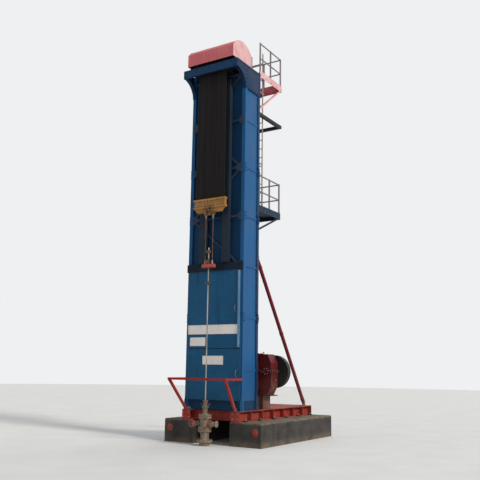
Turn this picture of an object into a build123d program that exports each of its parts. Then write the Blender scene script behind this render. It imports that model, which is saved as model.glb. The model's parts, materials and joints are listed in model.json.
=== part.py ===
from build123d import *
from math import acos, atan2, degrees
import os

# Belt pumping unit: a tall clad tower on a steel skid and two concrete beams. A wide belt runs over a
# drum at the head and lifts the polished rod of the well that stands in front of it.
# Millimetres. +X is to the right seen from the well, +Y is to the rear, +Z is up. The origin is on
# the ground, in the middle of the whole unit.

# Reach of the unit in front of and behind the tower's front face
GUARD_REACH = 860
GUARD_BAR = 64
REAR_REACH = 4700
Y_FACE = (GUARD_REACH + GUARD_BAR / 2 - REAR_REACH) / 2

# Flat sides that stand in for round ones: thin bars, small holes, and the larger discs and tubes
BAR_SIDES = 6
HOLE_SIDES = 12
DISC_SIDES = 24
DRUM_SIDES = 72

# Concrete beams
FOUND_HEIGHT = 680
FOUND_WIDTH = 1050
FOUND_GAP = 1300
FOUND_FRONT = 60
FOUND_JOINT = 16
FOUND_BLOCKS = 3
FOUND_CHAMFER = 30

# Skid
SKID_HEIGHT = 300
SKID_WIDTH = 300
SKID_FLANGE = 20
SKID_WEB = 14
SKID_FRONT = 120
SKID_REAR_MARGIN = 120
CROSS_WIDTH = 160
CROSS_COUNT = 6
CROSS_FLANGE = 14
CROSS_WEB = 10
STIFF_PITCH = 640
STIFF_THICK = 12
DECK_THICK = 8

# Tower
TOWER_WIDTH = 2030
TOWER_DEPTH = 900
TOWER_TOP = 11700
POST = 120
POST_WALL = 8
FOOT_THICK = 25
FOOT_LENGTH = 260
FOOT_REACH = 60
SHEET = 6
SIDE_RECESS = 26
RIB_WIDTH = 70
RIB_THICK = 18
GUSSET_REACH = 52
GUSSET_HEIGHT = 430
GUSSET_THICK = 16
TRUSS_DEPTH = 60
TRUSS_WIDTH = 70
TRUSS_DIAGONAL = 60
TRUSS_BAYS = 4
PANEL_BOTTOM = 1270

# Front of the tower
LINTEL_Z = 5120
LINTEL_HEIGHT = 240
LINTEL_DEPTH = 60
LINTEL_WALL = 10
DOOR_BOTTOM = 2780
DOOR_WIDTH = 1920
DOOR_DEPTH = 40
DOOR_GAP = 16
DOOR_FLANGE_WIDTH = 60
DOOR_FLANGE_REACH = 28
DOOR_FLANGE_INSET = 30
DOOR_FLANGE_END = 20
CHANNEL_WIDTH = 230
CHANNEL_DEPTH = 150
CHANNEL_WALL = 8
CHANNEL_X = 420
CHANNEL_TOP = 11250

# Head
FLARE_RADIUS = 540
CHEEK_THICK = 14
CHEEK_FLANGE = 110
CHEEK_FLANGE_THICK = 10
FRONT_BEAM_HEIGHT = 250
FRONT_BEAM_DEPTH = 80
FRONT_BEAM_WALL = 10
BEAM = 150
BEAM_WALL = 8

# Drum, belt and hood
BELT_REACH = 370
BELT_THICK = 12
BELT_WIDTH = 1050
DRUM_RADIUS = 424
DRUM_WIDTH = 1160
DRUM_WALL = 20
DRUM_RIM = 8
DRUM_RIM_WIDTH = 30
WEB_INSET = 70
WEB_THICK = 18
WEB_HOLE = 62
WEB_HOLES = 6
HUB_RADIUS = 125
DRUM_LIFT = 200
SHAFT_RADIUS = 65
BEARING_X = 700
BEARING_WIDTH = 130
BEARING_RADIUS = 125
BEARING_BASE = 440
BEARING_FOOT = 40
BEARING_SPLIT = 46
BEARING_SPREAD = 1.35
BEARING_COVER = 92
BEARING_COVER_THICK = 14
SHAFT_END = 30
CLEAR = 0.5
HOOD_DEPTH = 1120
HOOD_LIFT = 110
HOOD_WALL = 390
HOOD_RISE = 300
HOOD_SHEET = 6
HOOD_LEG = 60
HOOD_LEG_WIDE = 89
HOOD_LEG_INSET = 130
HOOD_LEG_DROP = 110
HOOD_LEG_RISE = 150

# Belt clamp, ropes and rod
CLAMP_TOP = 7320
CLAMP_WIDTH = 1150
CLAMP_HEIGHT = 430
CLAMP_END = 270
CLAMP_SHOULDER = 430
CLAMP_PLATE = 40
CLAMP_RIB = 26
CLAMP_RIB_X = 230
CLAMP_RIB_WIDTH = 22
CLAMP_BAR = 60
CLAMP_EYE = 190
CLAMP_EYE_DROP = 90
BELT_GRIP = 300
ROPE_RADIUS = 14
ROPE_X = 130
CARRIER_Z = 5180
CARRIER_WIDTH = 420
CARRIER_DEPTH = 130
CARRIER_HEIGHT = 100
ROD_RADIUS = 19
ROD_TOP = 5790
ROD_FOOT = 1000

# Clamps on the rod: half width or radius, then height
SEAT_HALF = 60
SEAT_HEIGHT = 130
ROD_CLAMP = 45
ROD_CLAMP_HEIGHT = 100
ROD_END = 80
LOW_CLAMP_DROP = 420

# Well: each step is the height of its top and its radius
WELL_STEPS = [(0, 0), (100, 150), (160, 230), (400, 125), (510, 200), (760, 140), (860, 190)]
BOX_STEPS = [(860, 0), (895, 145), (1060, 72), (1110, 100), (1235, 58), (1270, 78)]
WELL_SIDES = 12
VALVE_Z = 620
VALVE_NECK = 60
VALVE_FLANGE = 95
VALVE_BODY = 68
VALVE_START = 180
VALVE_END = 420
VALVE_FLANGE_THICK = 32
BONNET = 40
BONNET_REACH = 230
WHEEL_RADIUS = 110
WHEEL_RIM = 20
WHEEL_THICK = 16

# Counterweight inside the tower
WEIGHT_TOP = 7100
WEIGHT_HEIGHT = 1900
WEIGHT_WIDTH = 1500
WEIGHT_DEPTH = 420

# Ladder and platforms
LADDER_X = 650
LADDER_WIDTH = 420
LOWER_STANDOFF = 200
UPPER_STANDOFF = 420
STILE = 60
STILE_THICK = 12
RUNG_PITCH = 300
RUNG_RADIUS = 12
LADDER_STAY_PITCH = 1700
LADDER_STAY_DROP = 150
LADDER_STAY = 50
LADDER_RISE = 900
MID_FLOOR_Z = 7200
MID_DEPTH = 1400
TOP_FLOOR_LIFT = 50
TOP_DEPTH = 1480
FLOOR_FRAME = 120
FLOOR_FRAME_WALL = 10
FLOOR_PLATE = 6
JOIST_LIFT = 30
TOE_BOARD = 100
TOE_THICK = 5
GRATE_HEIGHT = 32
GRATE_BAR = 6
GRATE_PITCH = 105
MID_STRUT_DROP = 600
TOP_STRUT_DROP = 1150
HATCH_WIDTH = 660
HATCH_SPACE = 620
RAIL_HEIGHT = 1100
RAIL_RADIUS = 19
RAIL_POST = 24
RAIL_SIDE = 30
RAIL_INSET = 40
STRUT = 50
SERVICE_Z = 10300
SERVICE_BAR = 100

# Guard rail at the well
GUARD_HEIGHT = 900
GUARD_STUB = 50
GUARD_FOOT = 66
GUARD_FOOT_THICK = 12

# Braces
BRACE_RADIUS = 57
BRACE_TOP_Z = 5450
BRACE_FOOT = 4100
BRACE_PLATE = 14
BRACE_START = 90
BRACE_HEAD = 200
BRACE_HEAD_HALF = 70
BRACE_LUG = 140
BRACE_LUG_HALF = 100
BRACE_SHOE = 160
BRACE_SHOE_REAR = 90
BRACE_HEEL = 80

# Drive behind the tower
SHAFT_Z = 2120
REDUCER_GAP = 330
REDUCER_DEPTH = 420
REDUCER_LEFT = -450
REDUCER_RIGHT = 1290
REDUCER_LOW = 1420
REDUCER_TOP = 2640
REDUCER_CORNER = 260
REDUCER_FLANGE = 36
REDUCER_FLANGE_THICK = 28
REDUCER_RIB = 24
REDUCER_RIB_PLACES = [-330, 250, 830]
BEARING_CAPS = [(0, 190), (560, 150), (1120, 105)]
CAP_REACH = 34
LID_LEFT = 100
LID_RIGHT = 800
LID_THICK = 26
LID_INSET = 70
PEDESTAL = 180
PEDESTAL_PLACES = [-300, 840]
PEDESTAL_WALL = 14
BASE_PLATE = 30
OUTPUT_SHAFT = 95
SEAL_PLATE = 240
INPUT_SHAFT = 45
PULLEY_GAP = 18
PULLEY_BIG = 440
PULLEY_SMALL = 165
BELT_GUARD_GAP = 60
BELT_GUARD_THICK = 170
BELT_GUARD_SHEET = 4
BELT_GUARD_BIG = 500
BELT_GUARD_SMALL = 225
BELT_GUARD_LEG = 70
BELT_GUARD_STEPS = 16
MOTOR_X = -150
MOTOR_Z = 1560
MOTOR_RADIUS = 235
MOTOR_CORE = 212
MOTOR_FINS = 20
MOTOR_LENGTH = 620
MOTOR_BELL = 75
MOTOR_BELL_RADIUS = 222
MOTOR_SHAFT = 40
MOTOR_FOOT = 290
MOTOR_BOX = 190
MOTOR_BOX_REACH = 330

# Places worked out from the sizes above
SKID_TOP = FOUND_HEIGHT + SKID_HEIGHT
DECK_TOP = SKID_TOP + DECK_THICK
HALF = TOWER_WIDTH / 2
SKID_X = HALF - SKID_WIDTH / 2
INNER = HALF - POST
Y_BACK = Y_FACE + TOWER_DEPTH
Y_END = Y_FACE + REAR_REACH
Y_BELT = Y_FACE - BELT_REACH
BELT_RADIUS = DRUM_RADIUS + CLEAR + BELT_THICK / 2
Y_DRUM = Y_BELT + BELT_RADIUS
LINTEL_TOP = LINTEL_Z + LINTEL_HEIGHT
BEAM_Z = TOWER_TOP - BEAM
FRONT_TOP = TOWER_TOP - FRONT_BEAM_HEIGHT
DRUM_Z = TOWER_TOP + DRUM_LIFT
HOOD_BOTTOM = TOWER_TOP + HOOD_LIFT
TOP_FLOOR_Z = TOWER_TOP + TOP_FLOOR_LIFT
HOOD_WIDTH = 2 * (BEARING_X + BEAM / 2 + HOOD_LEG_WIDE + HOOD_SHEET)
TRUSS_BASE = LINTEL_Z + LINTEL_HEIGHT / 2
Y_REDUCER = Y_BACK + REDUCER_GAP
Y_REDUCER_BACK = Y_REDUCER + REDUCER_DEPTH
Y_GUARD = Y_REDUCER_BACK + BELT_GUARD_GAP
Y_GUARD_BACK = Y_GUARD + BELT_GUARD_THICK
INPUT_X = BEARING_CAPS[-1][0]


# Plain solids

def block(x0, x1, y0, y1, z0, z1):
    return Pos((x0 + x1) / 2, (y0 + y1) / 2, (z0 + z1) / 2) * Box(x1 - x0, y1 - y0, z1 - z0)


def along_x(edges, x0, x1):
    # profile drawn as (y, z)
    plane = Plane(origin=(x0, 0, 0), x_dir=(0, 1, 0), z_dir=(1, 0, 0))
    return extrude(plane * make_face(edges), amount=x1 - x0)


def along_y(edges, y0, y1):
    # profile drawn as (x, z)
    plane = Plane(origin=(0, y1, 0), x_dir=(1, 0, 0), z_dir=(0, -1, 0))
    return extrude(plane * make_face(edges), amount=y1 - y0)


def ring_of(points):
    return Polyline(*points, close=True)


def disc_x(x0, x1, y, z, radius):
    return Pos((x0 + x1) / 2, y, z) * Rot(0, 90, 0) * Cylinder(radius, x1 - x0)


def disc_z(z0, z1, x, y, radius):
    return Pos(x, y, (z0 + z1) / 2) * Cylinder(radius, z1 - z0)


def flat_sided(start, end, radius, sides=BAR_SIDES):
    # bar of a few flat sides; the radius reaches to the flats
    run = Vector(*end) - Vector(*start)
    section = RegularPolygon(radius, sides, major_radius=False, rotation=180 / sides)
    return extrude(Plane(origin=start, z_dir=run) * section, amount=run.length)


def flat_x(x0, x1, y, z, radius, sides):
    return flat_sided((x0, y, z), (x1, y, z), radius, sides)


def flat_y(y0, y1, x, z, radius, sides):
    return flat_sided((x, y0, z), (x, y1, z), radius, sides)


def flat_z(z0, z1, x, y, radius, sides):
    return flat_sided((x, y, z0), (x, y, z1), radius, sides)


def flat_bar(start, end, wide, deep, side=(0, 1, 0)):
    # the deep side of the section lies along the direction given as side
    run = Vector(*end) - Vector(*start)
    across = run.cross(Vector(*side)).normalized()
    plane = Plane(origin=start, x_dir=across, z_dir=run)
    return extrude(plane * Rectangle(wide, deep), amount=run.length)


def both_sides(shape):
    return shape + mirror(shape, about=Plane.YZ)


def i_points(u, v, width, height, flange, web):
    # outline of an I-section round the point (u, v)
    a = width / 2
    b = height / 2
    w = web / 2
    f = b - flange
    right = [(u + w, v - f), (u + a, v - f), (u + a, v - b)]
    left = [(u - a, v - b), (u - a, v - f), (u - w, v - f)]
    top = [(u - w, v + f), (u - a, v + f), (u - a, v + b), (u + a, v + b), (u + a, v + f), (u + w, v + f)]
    return right + left + top


def tube_block(x0, x1, y0, y1, z0, z1, wall, axis):
    # rectangular tube open at both ends of the given axis
    gap = [wall, wall, wall]
    gap[axis] = 0
    inside = block(x0 + gap[0], x1 - gap[0], y0 + gap[1], y1 - gap[1], z0 + gap[2], z1 - gap[2])
    return block(x0, x1, y0, y1, z0, z1) - inside


# Foundation and skid

def foundation_beam():
    c = FOUND_CHAMFER
    x0 = FOUND_GAP / 2
    x1 = x0 + FOUND_WIDTH
    y0 = Y_FACE - FOUND_FRONT
    top = FOUND_HEIGHT
    outline = ring_of([(x0, 0), (x1, 0), (x1, top - c), (x1 - c, top), (x0 + c, top), (x0, top - c)])
    beam = along_y(outline, y0, Y_END)
    inside = block(x0 + FOUND_JOINT, x1 - FOUND_JOINT, y0, Y_END, 0, top - FOUND_JOINT)
    for number in range(1, FOUND_BLOCKS):
        y = y0 + (Y_END - y0) * number / FOUND_BLOCKS
        cut = block(x0, x1, y - FOUND_JOINT / 2, y + FOUND_JOINT / 2, 0, top)
        beam = beam - (cut - inside)
    return beam


def skid_beam():
    z = (FOUND_HEIGHT + SKID_TOP) / 2
    y0 = Y_FACE - SKID_FRONT
    y1 = Y_END - SKID_REAR_MARGIN
    beam = along_y(ring_of(i_points(SKID_X, z, SKID_WIDTH, SKID_HEIGHT, SKID_FLANGE, SKID_WEB)), y0, y1)
    low = FOUND_HEIGHT + SKID_FLANGE
    high = SKID_TOP - SKID_FLANGE
    for y in (y0, y1 - STIFF_THICK):
        beam = beam + block(SKID_X - SKID_WIDTH / 2, SKID_X + SKID_WIDTH / 2, y, y + STIFF_THICK, low, high)
    count = int((y1 - y0) / STIFF_PITCH)
    for number in range(1, count):
        y = y0 + (y1 - y0) * number / count
        beam = beam + block(SKID_X, SKID_X + SKID_WIDTH / 2, y, y + STIFF_THICK, low, high)
    return beam


def skid_cross_beams():
    low = FOUND_HEIGHT + SKID_FLANGE
    high = SKID_TOP - SKID_FLANGE
    reach = SKID_X - SKID_WEB / 2
    first = Y_FACE + POST
    last = Y_END - SKID_REAR_MARGIN - CROSS_WIDTH
    beams = Part()
    for number in range(CROSS_COUNT):
        y = first + (last - first) * number / (CROSS_COUNT - 1)
        points = i_points(y, (low + high) / 2, CROSS_WIDTH, high - low, CROSS_FLANGE, CROSS_WEB)
        beams = beams + along_x(ring_of(points), -reach, reach)
    return beams


def drive_deck():
    return block(-HALF, HALF, Y_BACK + FOOT_LENGTH / 2, Y_END - SKID_REAR_MARGIN, SKID_TOP, DECK_TOP)


# Tower

def post_gusset():
    # upright plate in front of a front post, with its corner cut away
    y0 = Y_FACE - GUSSET_REACH
    base = SKID_TOP + FOOT_THICK
    top = base + GUSSET_HEIGHT
    outline = ring_of([(y0, base), (Y_FACE, base), (Y_FACE, top), (y0, top - GUSSET_HEIGHT / 2)])
    x = HALF - GUSSET_THICK
    return along_x(outline, x - GUSSET_THICK, x)


def tower_posts():
    base = SKID_TOP + FOOT_THICK
    front = tube_block(INNER, HALF, Y_FACE, Y_FACE + POST, base, TOWER_TOP, POST_WALL, 2) + post_gusset()
    x0 = HALF - FOOT_LENGTH
    reach = POST + FOOT_REACH
    front_foot = block(x0, HALF, Y_FACE - GUSSET_REACH, Y_FACE + reach, SKID_TOP, base)
    rear = tube_block(INNER, HALF, Y_BACK - POST, Y_BACK, base, TOWER_TOP, POST_WALL, 2)
    rear_foot = block(x0, HALF, Y_BACK - reach, Y_BACK + FOOT_REACH, SKID_TOP, base)
    return both_sides(front + front_foot) + both_sides(rear + rear_foot)


def truss_heights():
    # the lowest level is behind the lintel and the highest is the top chord
    top = FRONT_TOP - TRUSS_WIDTH / 2
    return [TRUSS_BASE + (top - TRUSS_BASE) * number / TRUSS_BAYS for number in range(TRUSS_BAYS + 1)]


def front_truss():
    levels = truss_heights()
    y0 = Y_FACE
    y1 = Y_FACE + TRUSS_DEPTH
    half = TRUSS_WIDTH / 2
    lattice = Part()
    for z in levels:
        lattice = lattice + block(-INNER, INNER, y0, y1, z - half, z + half)
    side = 1
    for low, high in zip(levels, levels[1:]):
        start = (side * INNER, (y0 + y1) / 2, low)
        end = (-side * INNER, (y0 + y1) / 2, high)
        lattice = lattice + flat_bar(start, end, TRUSS_DIAGONAL, TRUSS_DEPTH)
        side = -side
    return lattice & block(-INNER, INNER, y0, y1, levels[0] - half, FRONT_TOP)


def front_sheet():
    y0 = Y_FACE + TRUSS_DEPTH
    return block(-INNER, INNER, y0, y0 + SHEET, TRUSS_BASE - TRUSS_WIDTH / 2, FRONT_TOP)


def rib_heights():
    levels = truss_heights()
    pitch = levels[1] - levels[0]
    return [levels[0] - 2 * pitch, levels[0] - pitch] + levels[:-1]


def side_sheet():
    # flat ribs stand on the sheet between the posts, level with the truss
    x1 = HALF - SIDE_RECESS
    sheet = block(x1 - SHEET, x1, Y_FACE + POST, Y_BACK - POST, PANEL_BOTTOM, TOWER_TOP)
    for z in rib_heights():
        rib = block(x1, x1 + RIB_THICK, Y_FACE + POST, Y_BACK - POST, z - RIB_WIDTH / 2, z + RIB_WIDTH / 2)
        sheet = sheet + rib
    return sheet


def rear_sheet():
    y1 = Y_BACK - SIDE_RECESS
    sheet = block(-INNER, INNER, y1 - SHEET, y1, PANEL_BOTTOM, BEAM_Z)
    seal = flat_y(y1, y1 + RIB_THICK, BEARING_CAPS[0][0], SHAFT_Z, SEAL_PLATE, DISC_SIDES)
    sheet = sheet + seal
    for z in rib_heights():
        sheet = sheet + block(-INNER, INNER, y1, y1 + RIB_THICK, z - RIB_WIDTH / 2, z + RIB_WIDTH / 2)
    return sheet


def door_lintel():
    outer = block(-HALF, HALF, Y_FACE - LINTEL_DEPTH, Y_FACE, LINTEL_Z, LINTEL_TOP)
    w = LINTEL_WALL
    inner = block(-HALF, HALF, Y_FACE - LINTEL_DEPTH + w, Y_FACE, LINTEL_Z + w, LINTEL_TOP - w)
    return outer - inner


def tray(half, z0, z1):
    # sheet with its four edges folded back to the posts
    y0 = Y_FACE - DOOR_DEPTH
    inner = block(-half + SHEET, half - SHEET, y0 + SHEET, Y_FACE, z0 + SHEET, z1 - SHEET)
    return block(-half, half, y0, Y_FACE, z0, z1) - inner


def access_panel():
    half = DOOR_WIDTH / 2
    y0 = Y_FACE - DOOR_DEPTH
    panel = tray(half, DOOR_BOTTOM, LINTEL_Z)
    x1 = half - DOOR_FLANGE_INSET
    low = DOOR_BOTTOM + DOOR_FLANGE_END
    high = LINTEL_Z - DOOR_FLANGE_END
    flange = block(x1 - DOOR_FLANGE_WIDTH, x1, y0 - DOOR_FLANGE_REACH, y0, low, high)
    return panel + flange


def lower_panel():
    return tray(DOOR_WIDTH / 2, PANEL_BOTTOM, DOOR_BOTTOM - DOOR_GAP)


def guide_channels():
    x0 = CHANNEL_X - CHANNEL_WIDTH / 2
    x1 = CHANNEL_X + CHANNEL_WIDTH / 2
    y0 = Y_FACE - CHANNEL_DEPTH
    w = CHANNEL_WALL
    channel = block(x0, x1, y0, Y_FACE, LINTEL_TOP, CHANNEL_TOP)
    channel = channel - block(x0 + w, x1 - w, y0 + w, Y_FACE, LINTEL_TOP, CHANNEL_TOP)
    return both_sides(channel)


# Head

def head_cheek():
    low = TOWER_TOP - FRONT_BEAM_HEIGHT - FLARE_RADIUS
    front = Y_FACE - FLARE_RADIUS
    tip = TOWER_TOP - FRONT_BEAM_HEIGHT
    s = FLARE_RADIUS / 2 ** 0.5
    curve = ThreePointArc((Y_FACE, low), (front + s, low + s), (front, tip))
    edges = Polyline((front, tip), (front, TOWER_TOP), (Y_BACK, TOWER_TOP), (Y_BACK, low), (Y_FACE, low))
    plate = along_x(curve + edges, HALF, HALF + CHEEK_THICK)
    ring = disc_x(HALF - CHEEK_FLANGE, HALF + CHEEK_THICK, front, low, FLARE_RADIUS)
    bore = disc_x(HALF - CHEEK_FLANGE, HALF + CHEEK_THICK, front, low, FLARE_RADIUS - CHEEK_FLANGE_THICK)
    window = block(HALF - CHEEK_FLANGE, HALF + CHEEK_THICK, front, Y_FACE, low, tip)
    return plate + ((ring - bore) & window)


def head_front_beam():
    y0 = Y_FACE - FLARE_RADIUS
    z0 = TOWER_TOP - FRONT_BEAM_HEIGHT
    w = FRONT_BEAM_WALL
    outer = block(-HALF, HALF, y0, y0 + FRONT_BEAM_DEPTH, z0, TOWER_TOP)
    inner = block(-HALF, HALF, y0 + w, y0 + FRONT_BEAM_DEPTH, z0 + w, TOWER_TOP - w)
    return outer - inner


def head_frame():
    y0 = Y_FACE - FLARE_RADIUS + FRONT_BEAM_DEPTH
    y1 = Y_BACK - POST
    rail = tube_block(BEARING_X - BEAM / 2, BEARING_X + BEAM / 2, y0, y1, BEAM_Z, TOWER_TOP, BEAM_WALL, 1)
    rear = tube_block(-INNER, INNER, y1, Y_BACK, BEAM_Z, TOWER_TOP, BEAM_WALL, 0)
    stub = tube_block(BEARING_X + BEAM / 2, INNER, Y_FACE, Y_FACE + POST, BEAM_Z, TOWER_TOP, BEAM_WALL, 0)
    return both_sides(rail + stub) + rear


def bearing_blocks():
    x0 = BEARING_X - BEARING_WIDTH / 2
    x1 = BEARING_X + BEARING_WIDTH / 2
    r = BEARING_RADIUS
    step = TOWER_TOP + BEARING_FOOT
    foot = block(x0, x1, Y_DRUM - BEARING_BASE / 2, Y_DRUM + BEARING_BASE / 2, TOWER_TOP, step)
    left = [(Y_DRUM - r, DRUM_Z), (Y_DRUM - BEARING_SPREAD * r, step)]
    right = [(Y_DRUM + BEARING_SPREAD * r, step), (Y_DRUM + r, DRUM_Z)]
    body = along_x(ring_of(left + right), x0, x1)
    ear = r + BEARING_SPLIT
    split = block(x0, x1, Y_DRUM - ear, Y_DRUM + ear, DRUM_Z - BEARING_FOOT, DRUM_Z + BEARING_FOOT)
    housing = flat_x(x0, x1, Y_DRUM, DRUM_Z, r, DISC_SIDES)
    out = BEARING_COVER_THICK
    cover = flat_x(x0 - out, x1 + out, Y_DRUM, DRUM_Z, BEARING_COVER, DISC_SIDES)
    bore = flat_x(x0 - r, x1 + r, Y_DRUM, DRUM_Z, SHAFT_RADIUS + CLEAR, DISC_SIDES)
    return both_sides(foot + body + split + housing + cover - bore)


def crown_drum():
    # shell with a low rim at each end to keep the belt on, carried by two pierced webs and a hub
    half = DRUM_WIDTH / 2
    r = DRUM_RADIUS
    shell = flat_x(-half, half, Y_DRUM, DRUM_Z, r, DRUM_SIDES)
    rim = flat_x(half - DRUM_RIM_WIDTH, half, Y_DRUM, DRUM_Z, r + DRUM_RIM, DRUM_SIDES)
    shell = shell + both_sides(rim) - flat_x(-half, half, Y_DRUM, DRUM_Z, r - DRUM_WALL, DISC_SIDES)
    inset = half - WEB_INSET
    web = flat_x(inset - WEB_THICK, inset, Y_DRUM, DRUM_Z, r - DRUM_WALL / 2, DISC_SIDES)
    reach = (HUB_RADIUS + r - DRUM_WALL) / 2
    for number in range(WEB_HOLES):
        spot = Vector(0, reach, 0).rotate(Axis.X, 360 * number / WEB_HOLES)
        web = web - flat_x(inset - WEB_THICK, inset, Y_DRUM + spot.Y, DRUM_Z + spot.Z, WEB_HOLE, BAR_SIDES)
    hub = flat_x(inset - 2 * WEB_THICK, inset + WEB_THICK, Y_DRUM, DRUM_Z, HUB_RADIUS, HOLE_SIDES)
    end = BEARING_X + BEARING_WIDTH / 2 + SHAFT_END
    shaft = flat_x(-end, end, Y_DRUM, DRUM_Z, SHAFT_RADIUS, DISC_SIDES)
    return shell + both_sides(web + hub) + shaft


def hood_solid(front, depth, bottom, wall, rise, half):
    top = bottom + wall
    curve = ThreePointArc((front + depth, top), (front + depth / 2, top + rise), (front, top))
    edges = Polyline((front, top), (front, bottom), (front + depth, bottom), (front + depth, top))
    return along_x(curve + edges, -half, half)


def hood():
    front = Y_FACE - FLARE_RADIUS
    s = HOOD_SHEET
    outer = hood_solid(front, HOOD_DEPTH, HOOD_BOTTOM, HOOD_WALL, HOOD_RISE, HOOD_WIDTH / 2)
    half = HOOD_WIDTH / 2
    inner = hood_solid(front + s, HOOD_DEPTH - 2 * s, HOOD_BOTTOM, HOOD_WALL - s, HOOD_RISE, half - s)
    return outer - inner


def hood_legs():
    x0 = BEARING_X + BEAM / 2
    x1 = HOOD_WIDTH / 2 - HOOD_SHEET
    front = Y_FACE - FLARE_RADIUS
    legs = Part()
    for y in (front + HOOD_LEG_INSET, front + HOOD_DEPTH - HOOD_LEG_INSET - HOOD_LEG):
        legs = legs + block(x0, x1, y, y + HOOD_LEG, TOWER_TOP - HOOD_LEG_DROP, HOOD_BOTTOM + HOOD_LEG_RISE)
    return both_sides(legs)


# Belt and the gear that hangs from it

def load_belt():
    half = BELT_WIDTH / 2
    t = BELT_THICK / 2
    low = CLAMP_TOP - BELT_GRIP
    arch = disc_x(-half, half, Y_DRUM, DRUM_Z, BELT_RADIUS + t)
    arch = arch - disc_x(-half, half, Y_DRUM, DRUM_Z, BELT_RADIUS - t)
    far = 2 * DRUM_RADIUS
    arch = arch & block(-half, half, Y_DRUM - far, Y_DRUM + far, DRUM_Z, DRUM_Z + far)
    front = block(-half, half, Y_BELT - t, Y_BELT + t, low, DRUM_Z)
    back = Y_DRUM + BELT_RADIUS
    rear = block(-half, half, back - t, back + t, WEIGHT_TOP, DRUM_Z)
    return arch + front + rear


def belt_clamp():
    a = CLAMP_WIDTH / 2
    b = CLAMP_SHOULDER
    top = CLAMP_TOP
    mid = CLAMP_TOP - CLAMP_END
    low = CLAMP_TOP - CLAMP_HEIGHT
    outline = ring_of([(-a, top), (-a, mid), (-b, low), (b, low), (a, mid), (a, top)])
    t = BELT_THICK / 2
    y0 = Y_BELT - t - CLAMP_PLATE
    y1 = Y_BELT + t + CLAMP_PLATE
    body = along_y(outline, y0, y1)
    f0 = y0 - CLAMP_RIB
    f1 = y1 + CLAMP_RIB
    bars = block(-a, a, f0, f1, top - CLAMP_BAR, top)
    bars = bars + block(-a, a, f0, f1, mid - CLAMP_BAR / 2, mid + CLAMP_BAR / 2)
    side = CLAMP_RIB_WIDTH / 2
    ribs = block(-side, side, f0, f1, low, top)
    ribs = ribs + both_sides(block(CLAMP_RIB_X - side, CLAMP_RIB_X + side, f0, f1, low, top))
    eye = block(-CLAMP_EYE, CLAMP_EYE, Y_BELT - CLAMP_RIB, Y_BELT + CLAMP_RIB, low - CLAMP_EYE_DROP, low)
    slot = block(-BELT_WIDTH / 2, BELT_WIDTH / 2, Y_BELT - t, Y_BELT + t, top - BELT_GRIP, top)
    return body + bars + ribs + eye - slot


def bridle_ropes():
    top = CLAMP_TOP - CLAMP_HEIGHT - CLAMP_EYE_DROP
    return both_sides(flat_z(CARRIER_Z + CARRIER_HEIGHT, top, ROPE_X, Y_BELT, ROPE_RADIUS, BAR_SIDES))


def carrier_bar():
    half = CARRIER_WIDTH / 2
    deep = CARRIER_DEPTH / 2
    top = CARRIER_Z + CARRIER_HEIGHT
    bar = block(-half, half, Y_BELT - deep, Y_BELT + deep, CARRIER_Z, top)
    return bar - flat_z(CARRIER_Z, top, 0, Y_BELT, ROD_RADIUS + CLEAR, HOLE_SIDES)


def rod_clamps():
    top = CARRIER_Z + CARRIER_HEIGHT
    low = CARRIER_Z - LOW_CLAMP_DROP
    seat = block(-SEAT_HALF, SEAT_HALF, Y_BELT - SEAT_HALF, Y_BELT + SEAT_HALF, top, top + SEAT_HEIGHT)
    high = ROD_TOP - ROD_END
    upper = flat_z(high - ROD_CLAMP_HEIGHT, high, 0, Y_BELT, ROD_CLAMP, HOLE_SIDES)
    lower = flat_z(low - ROD_CLAMP_HEIGHT, low, 0, Y_BELT, ROD_CLAMP, HOLE_SIDES)
    bore = flat_z(low - ROD_CLAMP_HEIGHT, ROD_TOP, 0, Y_BELT, ROD_RADIUS + CLEAR, HOLE_SIDES)
    return seat + upper + lower - bore


def polished_rod():
    return disc_z(ROD_FOOT, ROD_TOP, 0, Y_BELT, ROD_RADIUS)


def stacked(steps):
    # stack of flat-sided drums round the rod's line
    shape = Part()
    low = steps[0][0]
    for top, radius in steps[1:]:
        shape = shape + flat_z(low, top, 0, Y_BELT, radius, WELL_SIDES)
        low = top
    return shape


def wellhead():
    x = VALVE_START
    neck = flat_x(-x, x, Y_BELT, VALVE_Z, VALVE_NECK, WELL_SIDES)
    return stacked(WELL_STEPS) + neck


def stuffing_box():
    bore = flat_z(ROD_FOOT, BOX_STEPS[-1][0], 0, Y_BELT, ROD_RADIUS + CLEAR, HOLE_SIDES)
    return stacked(BOX_STEPS) - bore


def wellhead_valve():
    y = Y_BELT
    z = VALVE_Z
    x0 = VALVE_START
    x1 = VALVE_END
    mid = (x0 + x1) / 2
    t = VALVE_FLANGE_THICK
    body = flat_x(x0, x0 + t, y, z, VALVE_FLANGE, WELL_SIDES)
    body = body + flat_x(x0, x1, y, z, VALVE_BODY, WELL_SIDES)
    body = body + flat_x(x1 - t, x1, y, z, VALVE_FLANGE, WELL_SIDES)
    front = y - BONNET_REACH
    bonnet = flat_y(front, y, mid, z, BONNET, WELL_SIDES)
    face = y - VALVE_BODY
    bonnet = bonnet + flat_y(face - t, face, mid, z, VALVE_FLANGE - t / 2, WELL_SIDES)
    out = front - WHEEL_THICK
    wheel = flat_y(out, front, mid, z, WHEEL_RADIUS, WELL_SIDES)
    wheel = wheel - flat_y(out, front, mid, z, WHEEL_RADIUS - WHEEL_RIM, WELL_SIDES)
    r = WHEEL_RADIUS - WHEEL_RIM / 2
    side = WHEEL_RIM / 2
    wheel = wheel + block(mid - r, mid + r, out, front, z - side, z + side)
    wheel = wheel + block(mid - side, mid + side, out, front, z - r, z + r)
    return body + bonnet + wheel


# Inside the tower

def counterweight():
    y = Y_DRUM + BELT_RADIUS
    half = WEIGHT_WIDTH / 2
    deep = WEIGHT_DEPTH / 2
    return block(-half, half, y - deep, y + deep, WEIGHT_TOP - WEIGHT_HEIGHT, WEIGHT_TOP)


# Guard rail at the front

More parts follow.
